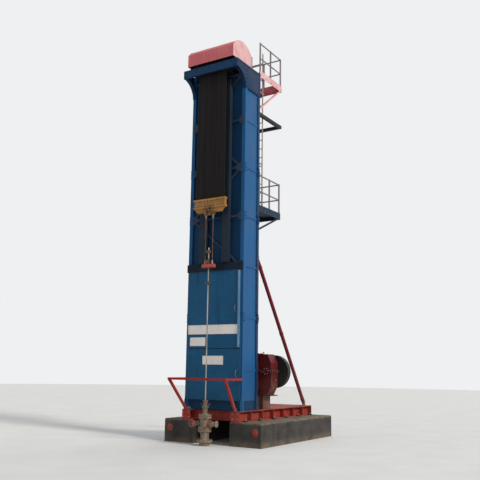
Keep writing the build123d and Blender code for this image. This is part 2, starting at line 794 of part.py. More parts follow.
def guard_rail():
    z = SKID_TOP + GUARD_HEIGHT
    y = Y_FACE - GUARD_REACH
    b = GUARD_BAR
    top = block(-HALF, HALF, y - b / 2, y + b / 2, z - b / 2, z + b / 2)
    foot_y = Y_FACE - SKID_FRONT + GUARD_FOOT / 2
    leg = flat_bar((HALF - b / 2, y, z), (SKID_X, foot_y, SKID_TOP - b / 2), b, b)
    stub = block(HALF - GUARD_STUB, HALF, y, Y_FACE, z - b / 2, z + b / 2)
    keep = block(0, HALF, y - b / 2, Y_FACE, SKID_TOP, z + b / 2)
    r = GUARD_FOOT / 2
    foot = block(SKID_X - r, SKID_X + r, foot_y - r, foot_y + r, SKID_TOP, SKID_TOP + GUARD_FOOT_THICK)
    return top + both_sides(stub + (leg & keep)) + both_sides(foot)


# Rear

def ladder_flight(x, standoff, low, high):
    y = Y_BACK + standoff
    half = LADDER_WIDTH / 2
    rail = block(half, half + STILE_THICK, y - STILE / 2, y + STILE / 2, low, high)
    frame = both_sides(rail)
    count = int((high - low) / RUNG_PITCH)
    for number in range(1, count):
        z = low + number * RUNG_PITCH
        frame = frame + flat_x(-half, half, y, z, RUNG_RADIUS, BAR_SIDES)
    stays = int((min(high, BEAM_Z) - low) / LADDER_STAY_PITCH)
    for number in range(1, stays + 1):
        z = low + number * LADDER_STAY_PITCH - LADDER_STAY_DROP
        y0 = Y_BACK - SIDE_RECESS
        stay = block(half, half + STILE_THICK, y0, y, z - LADDER_STAY / 2, z + LADDER_STAY / 2)
        frame = frame + both_sides(stay)
    return Pos(x, 0, 0) * frame


def ladder():
    # the lower flight is on the left; the upper one is on the right and stands further back
    lower = ladder_flight(-LADDER_X, LOWER_STANDOFF, DECK_TOP, MID_FLOOR_Z + LADDER_RISE)
    return lower + ladder_flight(LADDER_X, UPPER_STANDOFF, MID_FLOOR_Z, TOP_FLOOR_Z + LADDER_RISE)


def hatch_end(standoff):
    # the hatch leaves room to climb behind the ladder
    return Y_BACK + standoff + STILE / 2 + HATCH_SPACE


def platform_frame(floor_z, depth, hatch_y):
    w = FLOOR_FRAME_WALL
    low = floor_z - FLOOR_FRAME
    y1 = Y_BACK + depth
    frame = block(-HALF, HALF, Y_BACK, y1, low, floor_z)
    frame = frame - block(-HALF + w, HALF - w, Y_BACK + w, y1 - w, low, floor_z)
    x0 = LADDER_X - HATCH_WIDTH / 2
    frame = frame + block(x0 - w, x0, Y_BACK + w, y1 - w, low + JOIST_LIFT, floor_z)
    frame = frame + block(x0, HALF - w, hatch_y, hatch_y + w, low + JOIST_LIFT, floor_z)
    joist = (x0 - HALF) / 2
    frame = frame + block(joist - w, joist, Y_BACK + w, y1 - w, low + JOIST_LIFT, floor_z)
    boards = block(-HALF, HALF, Y_BACK, y1, floor_z, floor_z + TOE_BOARD)
    t = TOE_THICK
    return frame + boards - block(-HALF + t, HALF - t, Y_BACK, y1 - t, floor_z, floor_z + TOE_BOARD)


def mid_platform():
    # its hatch is on the left, over the lower flight of the ladder
    w = FLOOR_FRAME_WALL
    low = MID_FLOOR_Z - FLOOR_PLATE
    y1 = Y_BACK + MID_DEPTH - w
    x0 = LADDER_X - HATCH_WIDTH / 2 - w
    hatch_y = hatch_end(LOWER_STANDOFF)
    floor = block(-HALF + w, x0, Y_BACK + w, y1, low, MID_FLOOR_Z)
    floor = floor + block(x0, HALF - w, hatch_y, y1, low, MID_FLOOR_Z)
    floor = floor + platform_struts(MID_FLOOR_Z, MID_DEPTH, MID_STRUT_DROP)
    return mirror(floor + platform_frame(MID_FLOOR_Z, MID_DEPTH, hatch_y), about=Plane.YZ)


def top_platform():
    # flat bars on edge make the open floor
    w = FLOOR_FRAME_WALL
    low = TOP_FLOOR_Z - GRATE_HEIGHT
    x0 = LADDER_X - HATCH_WIDTH / 2 - w
    hatch_y = hatch_end(UPPER_STANDOFF)
    first = Y_BACK + w
    span = TOP_DEPTH - 2 * w
    count = int(span / GRATE_PITCH)
    floor = platform_frame(TOP_FLOOR_Z, TOP_DEPTH, hatch_y)
    for number in range(1, count):
        y = first + span * number / count
        x1 = HALF - w if y > hatch_y + w else x0
        floor = floor + block(-HALF + w, x1, y, y + GRATE_BAR, low, TOP_FLOOR_Z)
    return floor + platform_struts(TOP_FLOOR_Z, TOP_DEPTH, TOP_STRUT_DROP)


def handrail(floor_z, depth):
    # the posts are thicker than the rails, so each joint is a clean crossing
    x = HALF - RAIL_SIDE
    y0 = Y_BACK + RAIL_INSET
    y1 = Y_BACK + depth - RAIL_INSET
    high = floor_z + RAIL_HEIGHT
    places = [(x, y0), (x, (y0 + y1) / 2), (x, y1), (x / 3, y1)]
    rails = Part()
    for x_post, y_post in places:
        rails = rails + both_sides(flat_sided((x_post, y_post, floor_z), (x_post, y_post, high), RAIL_POST))
    for z in (high - RAIL_POST, floor_z + RAIL_HEIGHT / 2):
        rails = rails + both_sides(flat_sided((x, y0, z), (x, y1, z), RAIL_RADIUS))
        rails = rails + flat_sided((-x, y1, z), (x, y1, z), RAIL_RADIUS)
    return rails


def platform_struts(floor_z, depth, drop):
    # the bar runs past both ends and is cut off at the tower and under the floor frame
    z0 = floor_z - FLOOR_FRAME
    x = HALF - STRUT / 2
    start = (x, Y_BACK + depth - STRUT, z0 + STRUT)
    end = (x, Y_BACK - STRUT, z0 - drop)
    keep = block(0, HALF, Y_BACK, Y_BACK + depth, z0 - 2 * drop, z0)
    return both_sides(flat_bar(start, end, STRUT, STRUT, (1, 0, 0)) & keep)


def service_frame():
    b = SERVICE_BAR
    z = SERVICE_Z
    y1 = Y_BACK + TOP_DEPTH
    outer = block(-HALF, HALF, Y_BACK, y1, z, z + b)
    inner = block(-HALF + b, HALF - b, Y_BACK, y1 - b, z, z + b)
    return outer - inner


def rear_brace():
    x = HALF - BRACE_RADIUS
    t = BRACE_PLATE
    top = BRACE_TOP_Z
    foot_y = Y_FACE + BRACE_FOOT
    base = DECK_TOP + t
    low_end = (x, foot_y, base + BRACE_HEEL)
    tube = flat_sided((x, Y_BACK + BRACE_START, top), low_end, BRACE_RADIUS, HOLE_SIDES)
    head = block(x - BRACE_HEAD_HALF, HALF, Y_BACK, Y_BACK + t, top - BRACE_HEAD, top + BRACE_HEAD)
    lug = block(x - t, x + t, Y_BACK, Y_BACK + BRACE_LUG, top - BRACE_LUG_HALF, top + BRACE_LUG_HALF)
    front = foot_y - BRACE_SHOE
    foot = block(x - BRACE_LUG_HALF, HALF, front, foot_y + BRACE_SHOE_REAR, DECK_TOP, base)
    heel = block(x - t, x + t, foot_y - BRACE_HEEL, foot_y + BRACE_HEEL, DECK_TOP, base + 2 * BRACE_HEEL)
    return tube + head + lug + foot + heel


# Drive

def gear_reducer():
    # split housing on two box beams, with its three shafts on the joint
    y0 = Y_REDUCER
    y1 = Y_REDUCER_BACK
    x0 = REDUCER_LEFT
    x1 = REDUCER_RIGHT
    c = REDUCER_CORNER
    low = REDUCER_LOW
    top = REDUCER_TOP
    lower = [(x0 + c / 2, low), (x1 - c / 2, low), (x1, low + c), (x1, SHAFT_Z)]
    upper = [(x1, top - c), (x1 - c / 2, top), (x0 + 2 * c, top), (x0 + c / 2, top - c)]
    upper.append((x0, SHAFT_Z + c / 2))
    body = along_y(ring_of(lower + upper + [(x0, low + c)]), y0, y1)
    f = REDUCER_FLANGE
    t = REDUCER_FLANGE_THICK
    body = body + block(x0 - f, x1 + f, y0 - f, y1 + f, SHAFT_Z - t, SHAFT_Z + t)
    for x in REDUCER_RIB_PLACES:
        rib = block(x - t / 2, x + t / 2, y0 - REDUCER_RIB, y1 + REDUCER_RIB, low + c / 2, SHAFT_Z + c)
        body = body + rib
    for x, radius in BEARING_CAPS:
        body = body + flat_y(y0 - CAP_REACH, y1 + CAP_REACH, x, SHAFT_Z, radius, DISC_SIDES)
    body = body + block(LID_LEFT, LID_RIGHT, y0 + LID_INSET, y1 - LID_INSET, top, top + LID_THICK)
    body = body + block(x0, x1, y0, y1, low - BASE_PLATE, low)
    for x in PEDESTAL_PLACES:
        x2 = x + PEDESTAL
        body = body + tube_block(x, x2, y0, y1, DECK_TOP, low - BASE_PLATE, PEDESTAL_WALL, 1)
    seal = Y_BACK - SIDE_RECESS + RIB_THICK
    return body + flat_y(seal, y0, 0, SHAFT_Z, OUTPUT_SHAFT, DISC_SIDES) + input_pulley()


def input_pulley():
    wall = Y_GUARD + BELT_GUARD_SHEET + PULLEY_GAP
    back = Y_GUARD_BACK - BELT_GUARD_SHEET - PULLEY_GAP
    shaft = flat_y(Y_REDUCER_BACK, back, INPUT_X, SHAFT_Z, INPUT_SHAFT, HOLE_SIDES)
    return shaft + flat_y(wall, back, INPUT_X, SHAFT_Z, PULLEY_BIG, DISC_SIDES)


def tangent_band(big, small, y0, y1):
    # outline round two circles, each given as x, z and radius: two arcs in short steps, joined by tangents
    x0, z0, r0 = big
    x1, z1, r1 = small
    length = ((x1 - x0) ** 2 + (z1 - z0) ** 2) ** 0.5
    toward = degrees(atan2(z1 - z0, x1 - x0))
    turn = degrees(acos((r0 - r1) / length))
    arcs = [(x0, z0, r0, toward + turn, 360 - 2 * turn), (x1, z1, r1, toward - turn, 2 * turn)]
    points = []
    for x, z, r, start, sweep in arcs:
        for number in range(BELT_GUARD_STEPS + 1):
            spot = Vector(r, 0, 0).rotate(Axis.Z, start + sweep * number / BELT_GUARD_STEPS)
            points.append((x + spot.X, z + spot.Y))
    return along_y(ring_of(points), y0, y1)


def belt_guard():
    w = BELT_GUARD_SHEET
    y0 = Y_GUARD
    y1 = Y_GUARD_BACK
    big = (INPUT_X, SHAFT_Z, BELT_GUARD_BIG)
    small = (MOTOR_X, MOTOR_Z, BELT_GUARD_SMALL)
    outer = tangent_band(big, small, y0, y1)
    big = (INPUT_X, SHAFT_Z, BELT_GUARD_BIG - w)
    small = (MOTOR_X, MOTOR_Z, BELT_GUARD_SMALL - w)
    shell = outer - tangent_band(big, small, y0 + w, y1 - w)
    shell = shell - flat_y(y0, y0 + w, INPUT_X, SHAFT_Z, INPUT_SHAFT + PULLEY_GAP, HOLE_SIDES)
    shell = shell - flat_y(y1 - w, y1, MOTOR_X, MOTOR_Z, MOTOR_SHAFT + PULLEY_GAP, HOLE_SIDES)
    leg = BELT_GUARD_LEG / 2
    x = SKID_X
    legs = block(x - leg, x + leg, y0, y1, DECK_TOP, SHAFT_Z)
    legs = legs + block(MOTOR_X - leg, MOTOR_X + leg, y0, y1, DECK_TOP, MOTOR_Z)
    return shell + (legs - outer)


def drive_motor():
    # finned barrel between two end bells, on a box with a hollow inside
    x = MOTOR_X
    z = MOTOR_Z
    y0 = Y_GUARD_BACK + BELT_GUARD_GAP
    y1 = y0 + MOTOR_BELL + MOTOR_LENGTH
    points = []
    for number in range(4 * MOTOR_FINS):
        radius = MOTOR_RADIUS if number % 4 < 2 else MOTOR_CORE
        spot = Vector(radius, 0, 0).rotate(Axis.Z, 90 * number / MOTOR_FINS)
        points.append((x + spot.X, z + spot.Y))
    body = along_y(ring_of(points), y0 + MOTOR_BELL, y1)
    body = body + flat_y(y0, y0 + MOTOR_BELL, x, z, MOTOR_BELL_RADIUS, DISC_SIDES)
    body = body + flat_y(y1, y1 + 2 * MOTOR_BELL, x, z, MOTOR_BELL_RADIUS, DISC_SIDES)
    pulley = Y_GUARD + BELT_GUARD_SHEET + PULLEY_GAP
    shaft = flat_y(pulley, y0, x, z, MOTOR_SHAFT, HOLE_SIDES)
    end = Y_GUARD_BACK - BELT_GUARD_SHEET - PULLEY_GAP
    shaft = shaft + flat_y(pulley, end, x, z, PULLEY_SMALL, DISC_SIDES)
    half = MOTOR_BOX / 2
    mid = (y0 + y1 + MOTOR_BELL) / 2
    box = block(x + MOTOR_CORE / 2, x + MOTOR_BOX_REACH, mid - half, mid + half, z - half, z + half)
    side = MOTOR_FOOT
    foot = block(x - side, x + side, y0 + MOTOR_BELL, y1, z - MOTOR_FOOT, z - MOTOR_RADIUS / 2)
    seat = tube_block(x - side, x + side, y0 + MOTOR_BELL, y1, DECK_TOP, z - MOTOR_FOOT, PEDESTAL_WALL, 1)
    return body + shaft + box + foot + seat


# Every node and the solid that goes in it

def parts():
    return {
        "foundation_right": foundation_beam(),
        "foundation_left": mirror(foundation_beam(), about=Plane.YZ),
        "skid_beam_right": skid_beam(),
        "skid_beam_left": mirror(skid_beam(), about=Plane.YZ),
        "skid_cross_beams": skid_cross_beams(),
        "drive_deck": drive_deck(),
        "tower_posts": tower_posts(),
        "front_truss": front_truss(),
        "front_sheet": front_sheet(),
        "side_sheet_right": side_sheet(),
        "side_sheet_left": mirror(side_sheet(), about=Plane.YZ),
        "rear_sheet": rear_sheet(),
        "door_lintel": door_lintel(),
        "access_panel": access_panel(),
        "lower_panel": lower_panel(),
        "guide_channels": guide_channels(),
        "head_cheek_right": head_cheek(),
        "head_cheek_left": mirror(head_cheek(), about=Plane.YZ),
        "head_front_beam": head_front_beam(),
        "head_frame": head_frame(),
        "bearing_blocks": bearing_blocks(),
        "crown_drum": crown_drum(),
        "hood": hood(),
        "hood_legs": hood_legs(),
        "load_belt": load_belt(),
        "belt_clamp": belt_clamp(),
        "bridle_ropes": bridle_ropes(),
        "carrier_bar": carrier_bar(),
        "rod_clamps": rod_clamps(),
        "polished_rod": polished_rod(),
        "wellhead": wellhead(),
        "stuffing_box": stuffing_box(),
        "wellhead_valves": both_sides(wellhead_valve()),
        "counterweight": counterweight(),
        "guard_rail": guard_rail(),
        "ladder": ladder(),
        "mid_platform": mid_platform(),
        "mid_handrail": handrail(MID_FLOOR_Z, MID_DEPTH),
        "top_platform": top_platform(),
        "top_handrail": handrail(TOP_FLOOR_Z, TOP_DEPTH),
        "service_frame": service_frame(),
        "rear_braces": both_sides(rear_brace()),
        "gear_reducer": gear_reducer(),
        "belt_guard": belt_guard(),
        "drive_motor": drive_motor(),
    }


os.makedirs("parts", exist_ok=True)
for name, solid in parts().items():
    export_step(solid, "parts/" + name + ".step")
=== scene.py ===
import json
import math

import bmesh
import bpy
import numpy as np
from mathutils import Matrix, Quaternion, Vector


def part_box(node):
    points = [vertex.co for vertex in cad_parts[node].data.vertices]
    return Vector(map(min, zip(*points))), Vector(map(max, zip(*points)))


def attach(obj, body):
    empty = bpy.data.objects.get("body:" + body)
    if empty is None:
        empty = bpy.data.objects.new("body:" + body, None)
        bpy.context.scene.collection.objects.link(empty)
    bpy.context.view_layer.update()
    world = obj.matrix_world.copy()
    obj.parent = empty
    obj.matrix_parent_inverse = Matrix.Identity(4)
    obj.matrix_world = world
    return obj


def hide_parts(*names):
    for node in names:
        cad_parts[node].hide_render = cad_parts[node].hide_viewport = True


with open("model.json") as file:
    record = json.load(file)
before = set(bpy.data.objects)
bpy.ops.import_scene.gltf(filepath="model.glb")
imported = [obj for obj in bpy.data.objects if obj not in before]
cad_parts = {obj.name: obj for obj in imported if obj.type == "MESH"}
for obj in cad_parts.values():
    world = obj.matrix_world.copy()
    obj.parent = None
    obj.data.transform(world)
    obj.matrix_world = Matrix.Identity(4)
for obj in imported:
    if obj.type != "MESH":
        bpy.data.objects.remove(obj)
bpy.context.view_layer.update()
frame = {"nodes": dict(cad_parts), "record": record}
nodes = frame["nodes"]

# Sizes that part.py also holds, in metres
y_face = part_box("lower_panel")[1].y
y_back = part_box("mid_platform")[0].y
half_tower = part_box("head_front_beam")[1].x
post = 0.12
inner = half_tower - post
skid_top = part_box("drive_deck")[0].z
deck_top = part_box("drive_deck")[1].z
tower_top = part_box("head_frame")[1].z
y_belt = (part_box("polished_rod")[0].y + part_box("polished_rod")[1].y) / 2
panel_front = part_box("lower_panel")[0].y
lintel_low, lintel_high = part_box("door_lintel")
door_low, door_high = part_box("access_panel")
lower_low, lower_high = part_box("lower_panel")
beam_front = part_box("head_front_beam")[0].y
cheek_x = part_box("head_cheek_right")[1].x
sheet_x = half_tower - 0.026
joint_levels = [2.1525, 3.696, 5.24, 6.784, 8.3275, 9.871, 11.415]
splice_levels = [3.70, 6.784, 8.3275]
mid_floor, top_floor = 7.2, 11.75
reducer_z = 2.12
reducer_front, reducer_back = y_back + 0.33, y_back + 0.75
motor_x, motor_z = -0.15, 1.56
rope_x = 0.13

front_way, rear_way = (0, -1, 0), (0, 1, 0)
right_way, left_way = (1, 0, 0), (-1, 0, 0)
up_way, down_way = (0, 0, 1), (0, 0, -1)
both = (-1, 1)
thin_edge = 0.001


# Meshes: a shape is (points, list of face arrays); each face array has one row a face

def grid_faces(rows, columns, wrap_rows=False, wrap_columns=True):
    """Quads between a point grid's neighbouring lines; a wrapped side joins its last line to its first."""
    i, j = np.meshgrid(
        np.arange(rows if wrap_rows else rows - 1),
        np.arange(columns if wrap_columns else columns - 1),
        indexing="ij",
    )
    down = (i + 1) % rows
    across = (j + 1) % columns
    corners = [i * columns + j, i * columns + across, down * columns + across, down * columns + j]
    return np.stack(corners, -1).reshape(-1, 4)


def end_faces(rows, columns):
    """The first and the last line of a grid of points, each as one face that looks outwards."""
    return np.stack([np.arange(columns)[::-1], (rows - 1) * columns + np.arange(columns)])


def joined(*shapes):
    """All the shapes as one: their points in a line, and their face numbers moved up to match."""
    points = np.concatenate([shape[0] for shape in shapes])
    starts = np.cumsum([0] + [len(shape[0]) for shape in shapes[:-1]])
    faces = [face + start for shape, start in zip(shapes, starts) for face in shape[1]]
    return points, faces


def circle(radius, sides=12):
    """Points of a circle: radius times the cosine and sine of equal angles."""
    angle = np.linspace(0, 2 * math.pi, sides, endpoint=False)
    return np.stack([radius * np.cos(angle), radius * np.sin(angle)], -1)


def turned(profile, sides=24, closed=False):
    """A lathe form round Z: each profile point (radius, height) goes round the circle. Both ends are capped,
    or with closed the last point joins the first."""
    profile = np.array(profile, float)
    count = len(profile)
    flat = circle(1.0, sides)[None] * profile[:, :1, None]
    height = np.broadcast_to(profile[:, 1, None, None], (count, sides, 1))
    points = np.concatenate([flat, height], -1).reshape(-1, 3)
    faces = [grid_faces(count, sides, wrap_rows=closed)]
    return points, faces if closed else faces + [end_faces(count, sides)]


def carried(section, path, up=up_way, closed=False, across=None):
    """A profile carried along a path: it lies across the path's direction, its second side along up.
    Where across is given, the profile's first side keeps that direction instead."""
    section = np.array(section, float)
    path = np.array(path, float)
    if closed:
        run = np.roll(path, -1, 0) - np.roll(path, 1, 0)
    else:
        run = np.gradient(path, axis=0)
    run = run / np.linalg.norm(run, axis=1, keepdims=True)
    if across is None:
        side = np.cross(run, np.array(up, float))
        side = side / np.linalg.norm(side, axis=1, keepdims=True)
        rise = np.cross(side, run)
    else:
        side = np.broadcast_to(np.array(across, float), run.shape)
        rise = np.cross(side, run)
        rise = rise / np.linalg.norm(rise, axis=1, keepdims=True)
    points = path[:, None] + side[:, None] * section[None, :, :1] + rise[:, None] * section[None, :, 1:]
    faces = [grid_faces(len(path), len(section), wrap_rows=closed)]
    if not closed:
        faces.append(end_faces(len(path), len(section)))
    return points.reshape(-1, 3), faces


def extruded(outline, low, high, axis):
    """A flat outline carried straight along the axis numbered 0, 1 or 2, from low to high, ends closed."""
    outline = np.array(outline, float)
    count = len(outline)
    first, second = [k for k in range(3) if k != axis]
    points = np.zeros((2, count, 3))
    points[:, :, first] = outline[:, 0]
    points[:, :, second] = outline[:, 1]
    points[0, :, axis] = low
    points[1, :, axis] = high
    return points.reshape(-1, 3), [grid_faces(2, count), end_faces(2, count)]


def bevelled_box(low, high, edge=thin_edge):
    """A box whose twelve edges are cut back: an eight-cornered outline carried up through four heights."""
    low = np.array(low, float)
    high = np.array(high, float)
    insets = np.array([edge, 0, 0, edge])
    heights = np.array([low[2], low[2] + edge, high[2] - edge, high[2]])
    x0, x1 = low[0] + insets, high[0] - insets
    y0, y1 = low[1] + insets, high[1] - insets
    xs = np.stack([x0 + edge, x1 - edge, x1, x1, x1 - edge, x0 + edge, x0, x0], -1)
    ys = np.stack([y0, y0, y0 + edge, y1 - edge, y1, y1, y1 - edge, y0 + edge], -1)
    zs = np.broadcast_to(heights[:, None], xs.shape)
    return np.stack([xs, ys, zs], -1).reshape(-1, 3), [grid_faces(4, 8), end_faces(4, 8)]


def boxes(size, spots, edge=0.003):
    """Boxes of one size with cut-back edges, one with its middle at each spot."""
    half = np.array(size, float) / 2
    return joined(*[bevelled_box(spot - half, spot + half, edge) for spot in np.atleast_2d(spots)])


def placed(shape, spots, facing=up_way):
    """The shape copied to each spot, its own Z turned along facing by a right-handed set of three axes."""
    points, faces = shape
    spots = np.atleast_2d(np.array(spots, float))
    z = np.broadcast_to(np.array(facing, float), spots.shape)
    z = z / np.linalg.norm(z, axis=1, keepdims=True)
    steep = np.abs(z[:, 2:]) > 0.9
    helper = np.where(steep, np.array([1.0, 0, 0]), np.array([0, 0, 1.0]))
    x = np.cross(helper, z)
    x = x / np.linalg.norm(x, axis=1, keepdims=True)
    turn = np.stack([x, np.cross(z, x), z], -1)
    moved = np.einsum("nij,pj->npi", turn, points) + spots[:, None]
    shift = np.arange(len(spots)) * len(points)
    copies = [(face[None] + shift[:, None, None]).reshape(-1, face.shape[1]) for face in faces]
    return moved.reshape(-1, 3), copies


def lathed(profile, sides, spots, facing=up_way):
    """A lathe form copied to each spot, its axis along facing."""
    return placed(turned(profile, sides), spots, facing)


def tube_ring(centre, radius, thick, across, sides=8, steps=32, flat=1.0):
    """A closed ring: a small circle, flattened by flat, carried round a circle that lies across a way."""
    path = np.concatenate([circle(radius, steps), np.zeros((steps, 1))], -1)
    path, _ = placed((path, []), centre, across)
    return carried(circle(thick, sides) * (1, flat), path, closed=True, across=across)


def strap(half_width, thick):
    """The outline of a flat bar that sinks a millimetre into what it lies on."""
    return [(-half_width, -0.001), (half_width, -0.001), (half_width, thick), (-half_width, thick)]


# Spots: rows of places for what is repeated

# Equal steps from a start to an end, both counted
line = np.linspace


def ring(centre, radius, count, axis, turn=0.0):
    """Equal steps round a circle about the centre, in the plane across the axis numbered 0, 1 or 2."""
    angle = turn + np.linspace(0, 2 * math.pi, count, endpoint=False)
    spots = np.tile(np.array(centre, float), (count, 1))
    first, second = [k for k in range(3) if k != axis]
    spots[:, first] += radius * np.cos(angle)
    spots[:, second] += radius * np.sin(angle)
    return spots


def outward(angles):
    """The ways out from a middle at the given angles, in the upright plane that faces the front."""
    return np.stack([np.cos(angles), 0 * angles, np.sin(angles)], -1)


def grid_of(xs, ys, zs):
    """Every combination of the given places along X, Y and Z."""
    return np.stack(np.meshgrid(xs, ys, zs, indexing="ij"), -1).reshape(-1, 3)


def mirrored(spots):
    """The spots and the same spots on the other side of the unit's middle plane."""
    spots = np.atleast_2d(np.array(spots, float))
    return np.concatenate([spots, spots * (-1, 1, 1)])


def sides_of(spots):
    """Spots on the right side face right, and their mirror images face left."""
    return (spots, right_way), (spots * (-1, 1, 1), left_way)


# Fasteners: each is sized by its head's width in metres

def hex_bolt(size):
    """A washer under a six-sided head with its top corners cut back."""
    washer = turned([(0.62 * size, 0), (0.62 * size, 0.09 * size)], 12)
    head = turned([(0.56 * size, 0.09 * size), (0.56 * size, 0.42 * size), (0.47 * size, 0.52 * size)], 6)
    return joined(washer, head)


def screw(size):
    """A plain six-sided head with its top edge cut back."""
    return turned([(0.56 * size, 0), (0.56 * size, 0.3 * size), (0.45 * size, 0.42 * size)], 6)


def nut_and_stud(size):
    """A nut on a washer with the round stud's end standing out of it."""
    stud = turned([(0.3 * size, 0.3 * size), (0.3 * size, 1.1 * size), (0.24 * size, 1.2 * size)], 8)
    return joined(hex_bolt(size), stud)


def rivet(size):
    """A low dome: rings whose radius falls as the cosine and whose height rises as the sine."""
    angle = np.linspace(0, math.radians(72), 4)
    return turned(np.stack([size / 2 * np.cos(angle), size / 3 * np.sin(angle)], -1), 10)


def piece(name, finish, *shapes, replaces=(), corner=35):
    """Puts shapes into one mesh, turns its faces outwards, and hangs it on the part."""
    points, faces = joined(*shapes)
    mesh = bpy.data.meshes.new(name)
    mesh.vertices.add(len(points))
    mesh.vertices.foreach_set("co", points.astype(np.float32).ravel())
    sizes = np.concatenate([np.full(len(face), face.shape[1]) for face in faces])
    loops = np.concatenate([face.ravel() for face in faces])
    mesh.loops.add(len(loops))
    mesh.loops.foreach_set("vertex_index", loops.astype(np.int32))
    mesh.polygons.add(len(sizes))
    mesh.polygons.foreach_set("loop_start", np.concatenate([[0], np.cumsum(sizes)[:-1]]).astype(np.int32))
    mesh.update(calc_edges=True)
    work = bmesh.new()
    work.from_mesh(mesh)
    bmesh.ops.recalc_face_normals(work, faces=work.faces)
    work.to_mesh(mesh)
    work.free()
    mesh.polygons.foreach_set("use_smooth", np.ones(len(mesh.polygons), bool))
    mesh.set_sharp_from_angle(angle=math.radians(corner))
    made = bpy.data.objects.new(name, mesh)
    bpy.context.scene.collection.objects.link(made)
    mesh.materials.append(materials[finish])
    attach(made, "root")
    if replaces:
        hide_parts(*replaces)


def fasteners(name, finish, head, *rows):
    """One head along several rows, each given as its spots and the way they face."""
    piece(name, finish, *[placed(head, spots, facing) for spots, facing in rows])


# Shading: a field is a node's output that changes over the surface

class Field:
    """A node's output. Each sum written with + - * or / adds one node to its tree."""

    def __init__(self, socket):
        self.socket = socket

    def changed(self, operation, other=0.0):
        """One of Blender's sums on this field and another field or number."""
        return field(self.socket.id_data, "ShaderNodeMath", 0, {0: self, 1: other}, operation=operation)

    def __add__(self, other):
        return self.changed("ADD", other)

    def __sub__(self, other):
        return self.changed("SUBTRACT", other)

    def __rsub__(self, other):
        return field(self.socket.id_data, "ShaderNodeMath", 0, {0: other, 1: self}, operation="SUBTRACT")

    def __mul__(self, other):
        return self.changed("MULTIPLY", other)

    def __truediv__(self, other):
        return self.changed("DIVIDE", other)

    def most(self, other):
        """The larger of the two at each point."""
        return self.changed("MAXIMUM", other)

    def held(self):
        """The same field, kept from 0 to 1."""
        self.socket.node.use_clamp = True
        return self

    def spread(self, low, high, to_low=0.0, to_high=1.0):
        """This field carried from one range to another, smoothly and without running past its ends."""
        ranges = {"Value": self, "From Min": low, "From Max": high, "To Min": to_low, "To Max": to_high}
        return field(self.socket.id_data, "ShaderNodeMapRange", 0, ranges, interpolation_type="SMOOTHSTEP")

    def between(self, first, second, blend="MIX"):
        """The first colour where this mask is 0 and the second where it is 1."""
        inputs = {0: self, 6: first, 7: second}
        return field(self.socket.id_data, "ShaderNodeMix", 2, inputs, data_type="RGBA", blend_type=blend)


def feed(socket, value):
    """Gives an input a field to follow or a value of its own; a colour gets its fourth number here."""
    if isinstance(value, Field):
        socket.id_data.links.new(value.socket, socket)
    elif socket.type == "RGBA":
        socket.default_value = (*value, 1)
    else:
        socket.default_value = value


def add(tree, kind, inputs=None, **settings):
    """A shader node with its settings and its inputs."""
    made = tree.nodes.new(kind)
    for key, value in settings.items():
        setattr(made, key, value)
    for key, value in (inputs or {}).items():
        feed(made.inputs[key], value)
    return made


def field(tree, kind, output, inputs=None, **settings):
    """One output of a new node."""
    return Field(add(tree, kind, inputs, **settings).outputs[output])


def place(tree, stretch=None):
    """Where a point is on the object, in metres, with each axis scaled by stretch."""
    spot = field(tree, "ShaderNodeTexCoord", "Object")
    if stretch is None:
        return spot
    return field(tree, "ShaderNodeMapping", 0, {"Vector": spot, "Scale": stretch})


def axis_of(tree, letter):
    """How far a point is along X, Y or Z."""
    return field(tree, "ShaderNodeSeparateXYZ", letter, {0: place(tree)})


def facing_of(tree, letter):
    """How squarely the surface faces along X, Y or Z."""
    normal = field(tree, "ShaderNodeNewGeometry", "Normal")
    return field(tree, "ShaderNodeSeparateXYZ", letter, {0: normal})


def noise(tree, scale, detail=3.0, roughness=0.55, stretch=None):
    """Cloudy noise on the object's own coordinates."""
    inputs = {"Vector": place(tree, stretch), "Scale": scale, "Detail": detail, "Roughness": roughness}
    return field(tree, "ShaderNodeTexNoise", "Fac", inputs)


def layered(base, *coats):
    """Colours laid over a base one after another, each through its own mask."""
    for mask, colour in coats:
        base = mask.between(base, colour)
    return base


def shader_group(name, inputs, outputs):
    """An empty group, its inputs as fields, each with its usual value, and its outputs' sockets."""
    tree = bpy.data.node_groups.new(name, "ShaderNodeTree")
    for key, value in inputs.items():
        tree.interface.new_socket(key, in_out="INPUT", socket_type="NodeSocketFloat").default_value = value
    for key in outputs:
        tree.interface.new_socket(key, in_out="OUTPUT", socket_type="NodeSocketFloat")
    given = add(tree, "NodeGroupInput").outputs
    return tree, {key: Field(given[key]) for key in inputs}, add(tree, "NodeGroupOutput").inputs


def weather_group():
    """Fade: broad blotches. Streaks: narrow runs down the height. Dust: low down and on upward faces."""
    tree, given, out = shader_group("weather", {"Streaks": 0.5, "Dust": 0.5}, ["Fade", "Streaks", "Dust"])
    fade = noise(tree, 0.9, 4) * 0.7 + noise(tree, 7.0, 4) * 0.3
    feed(out["Fade"], fade.spread(0.38, 0.66))
    runs = noise(tree, 1.0, 5, 0.62, (9, 9, 0.35)).spread(0.52, 0.72)
    gaps = noise(tree, 1.0, 2, stretch=(1.5, 1.5, 0.8)).spread(0.35, 0.65)
    feed(out["Streaks"], (runs * gaps * given["Streaks"]).held())
    low = axis_of(tree, "Z").spread(2.6, 0.3)
    up = facing_of(tree, "Z").spread(0.5, 0.95, 0.0, 0.8)
    patches = noise(tree, 3.1, 5).spread(0.3, 0.75, 0.25, 1.0)
    feed(out["Dust"], (low.most(up) * patches * given["Dust"]).held())
    return tree


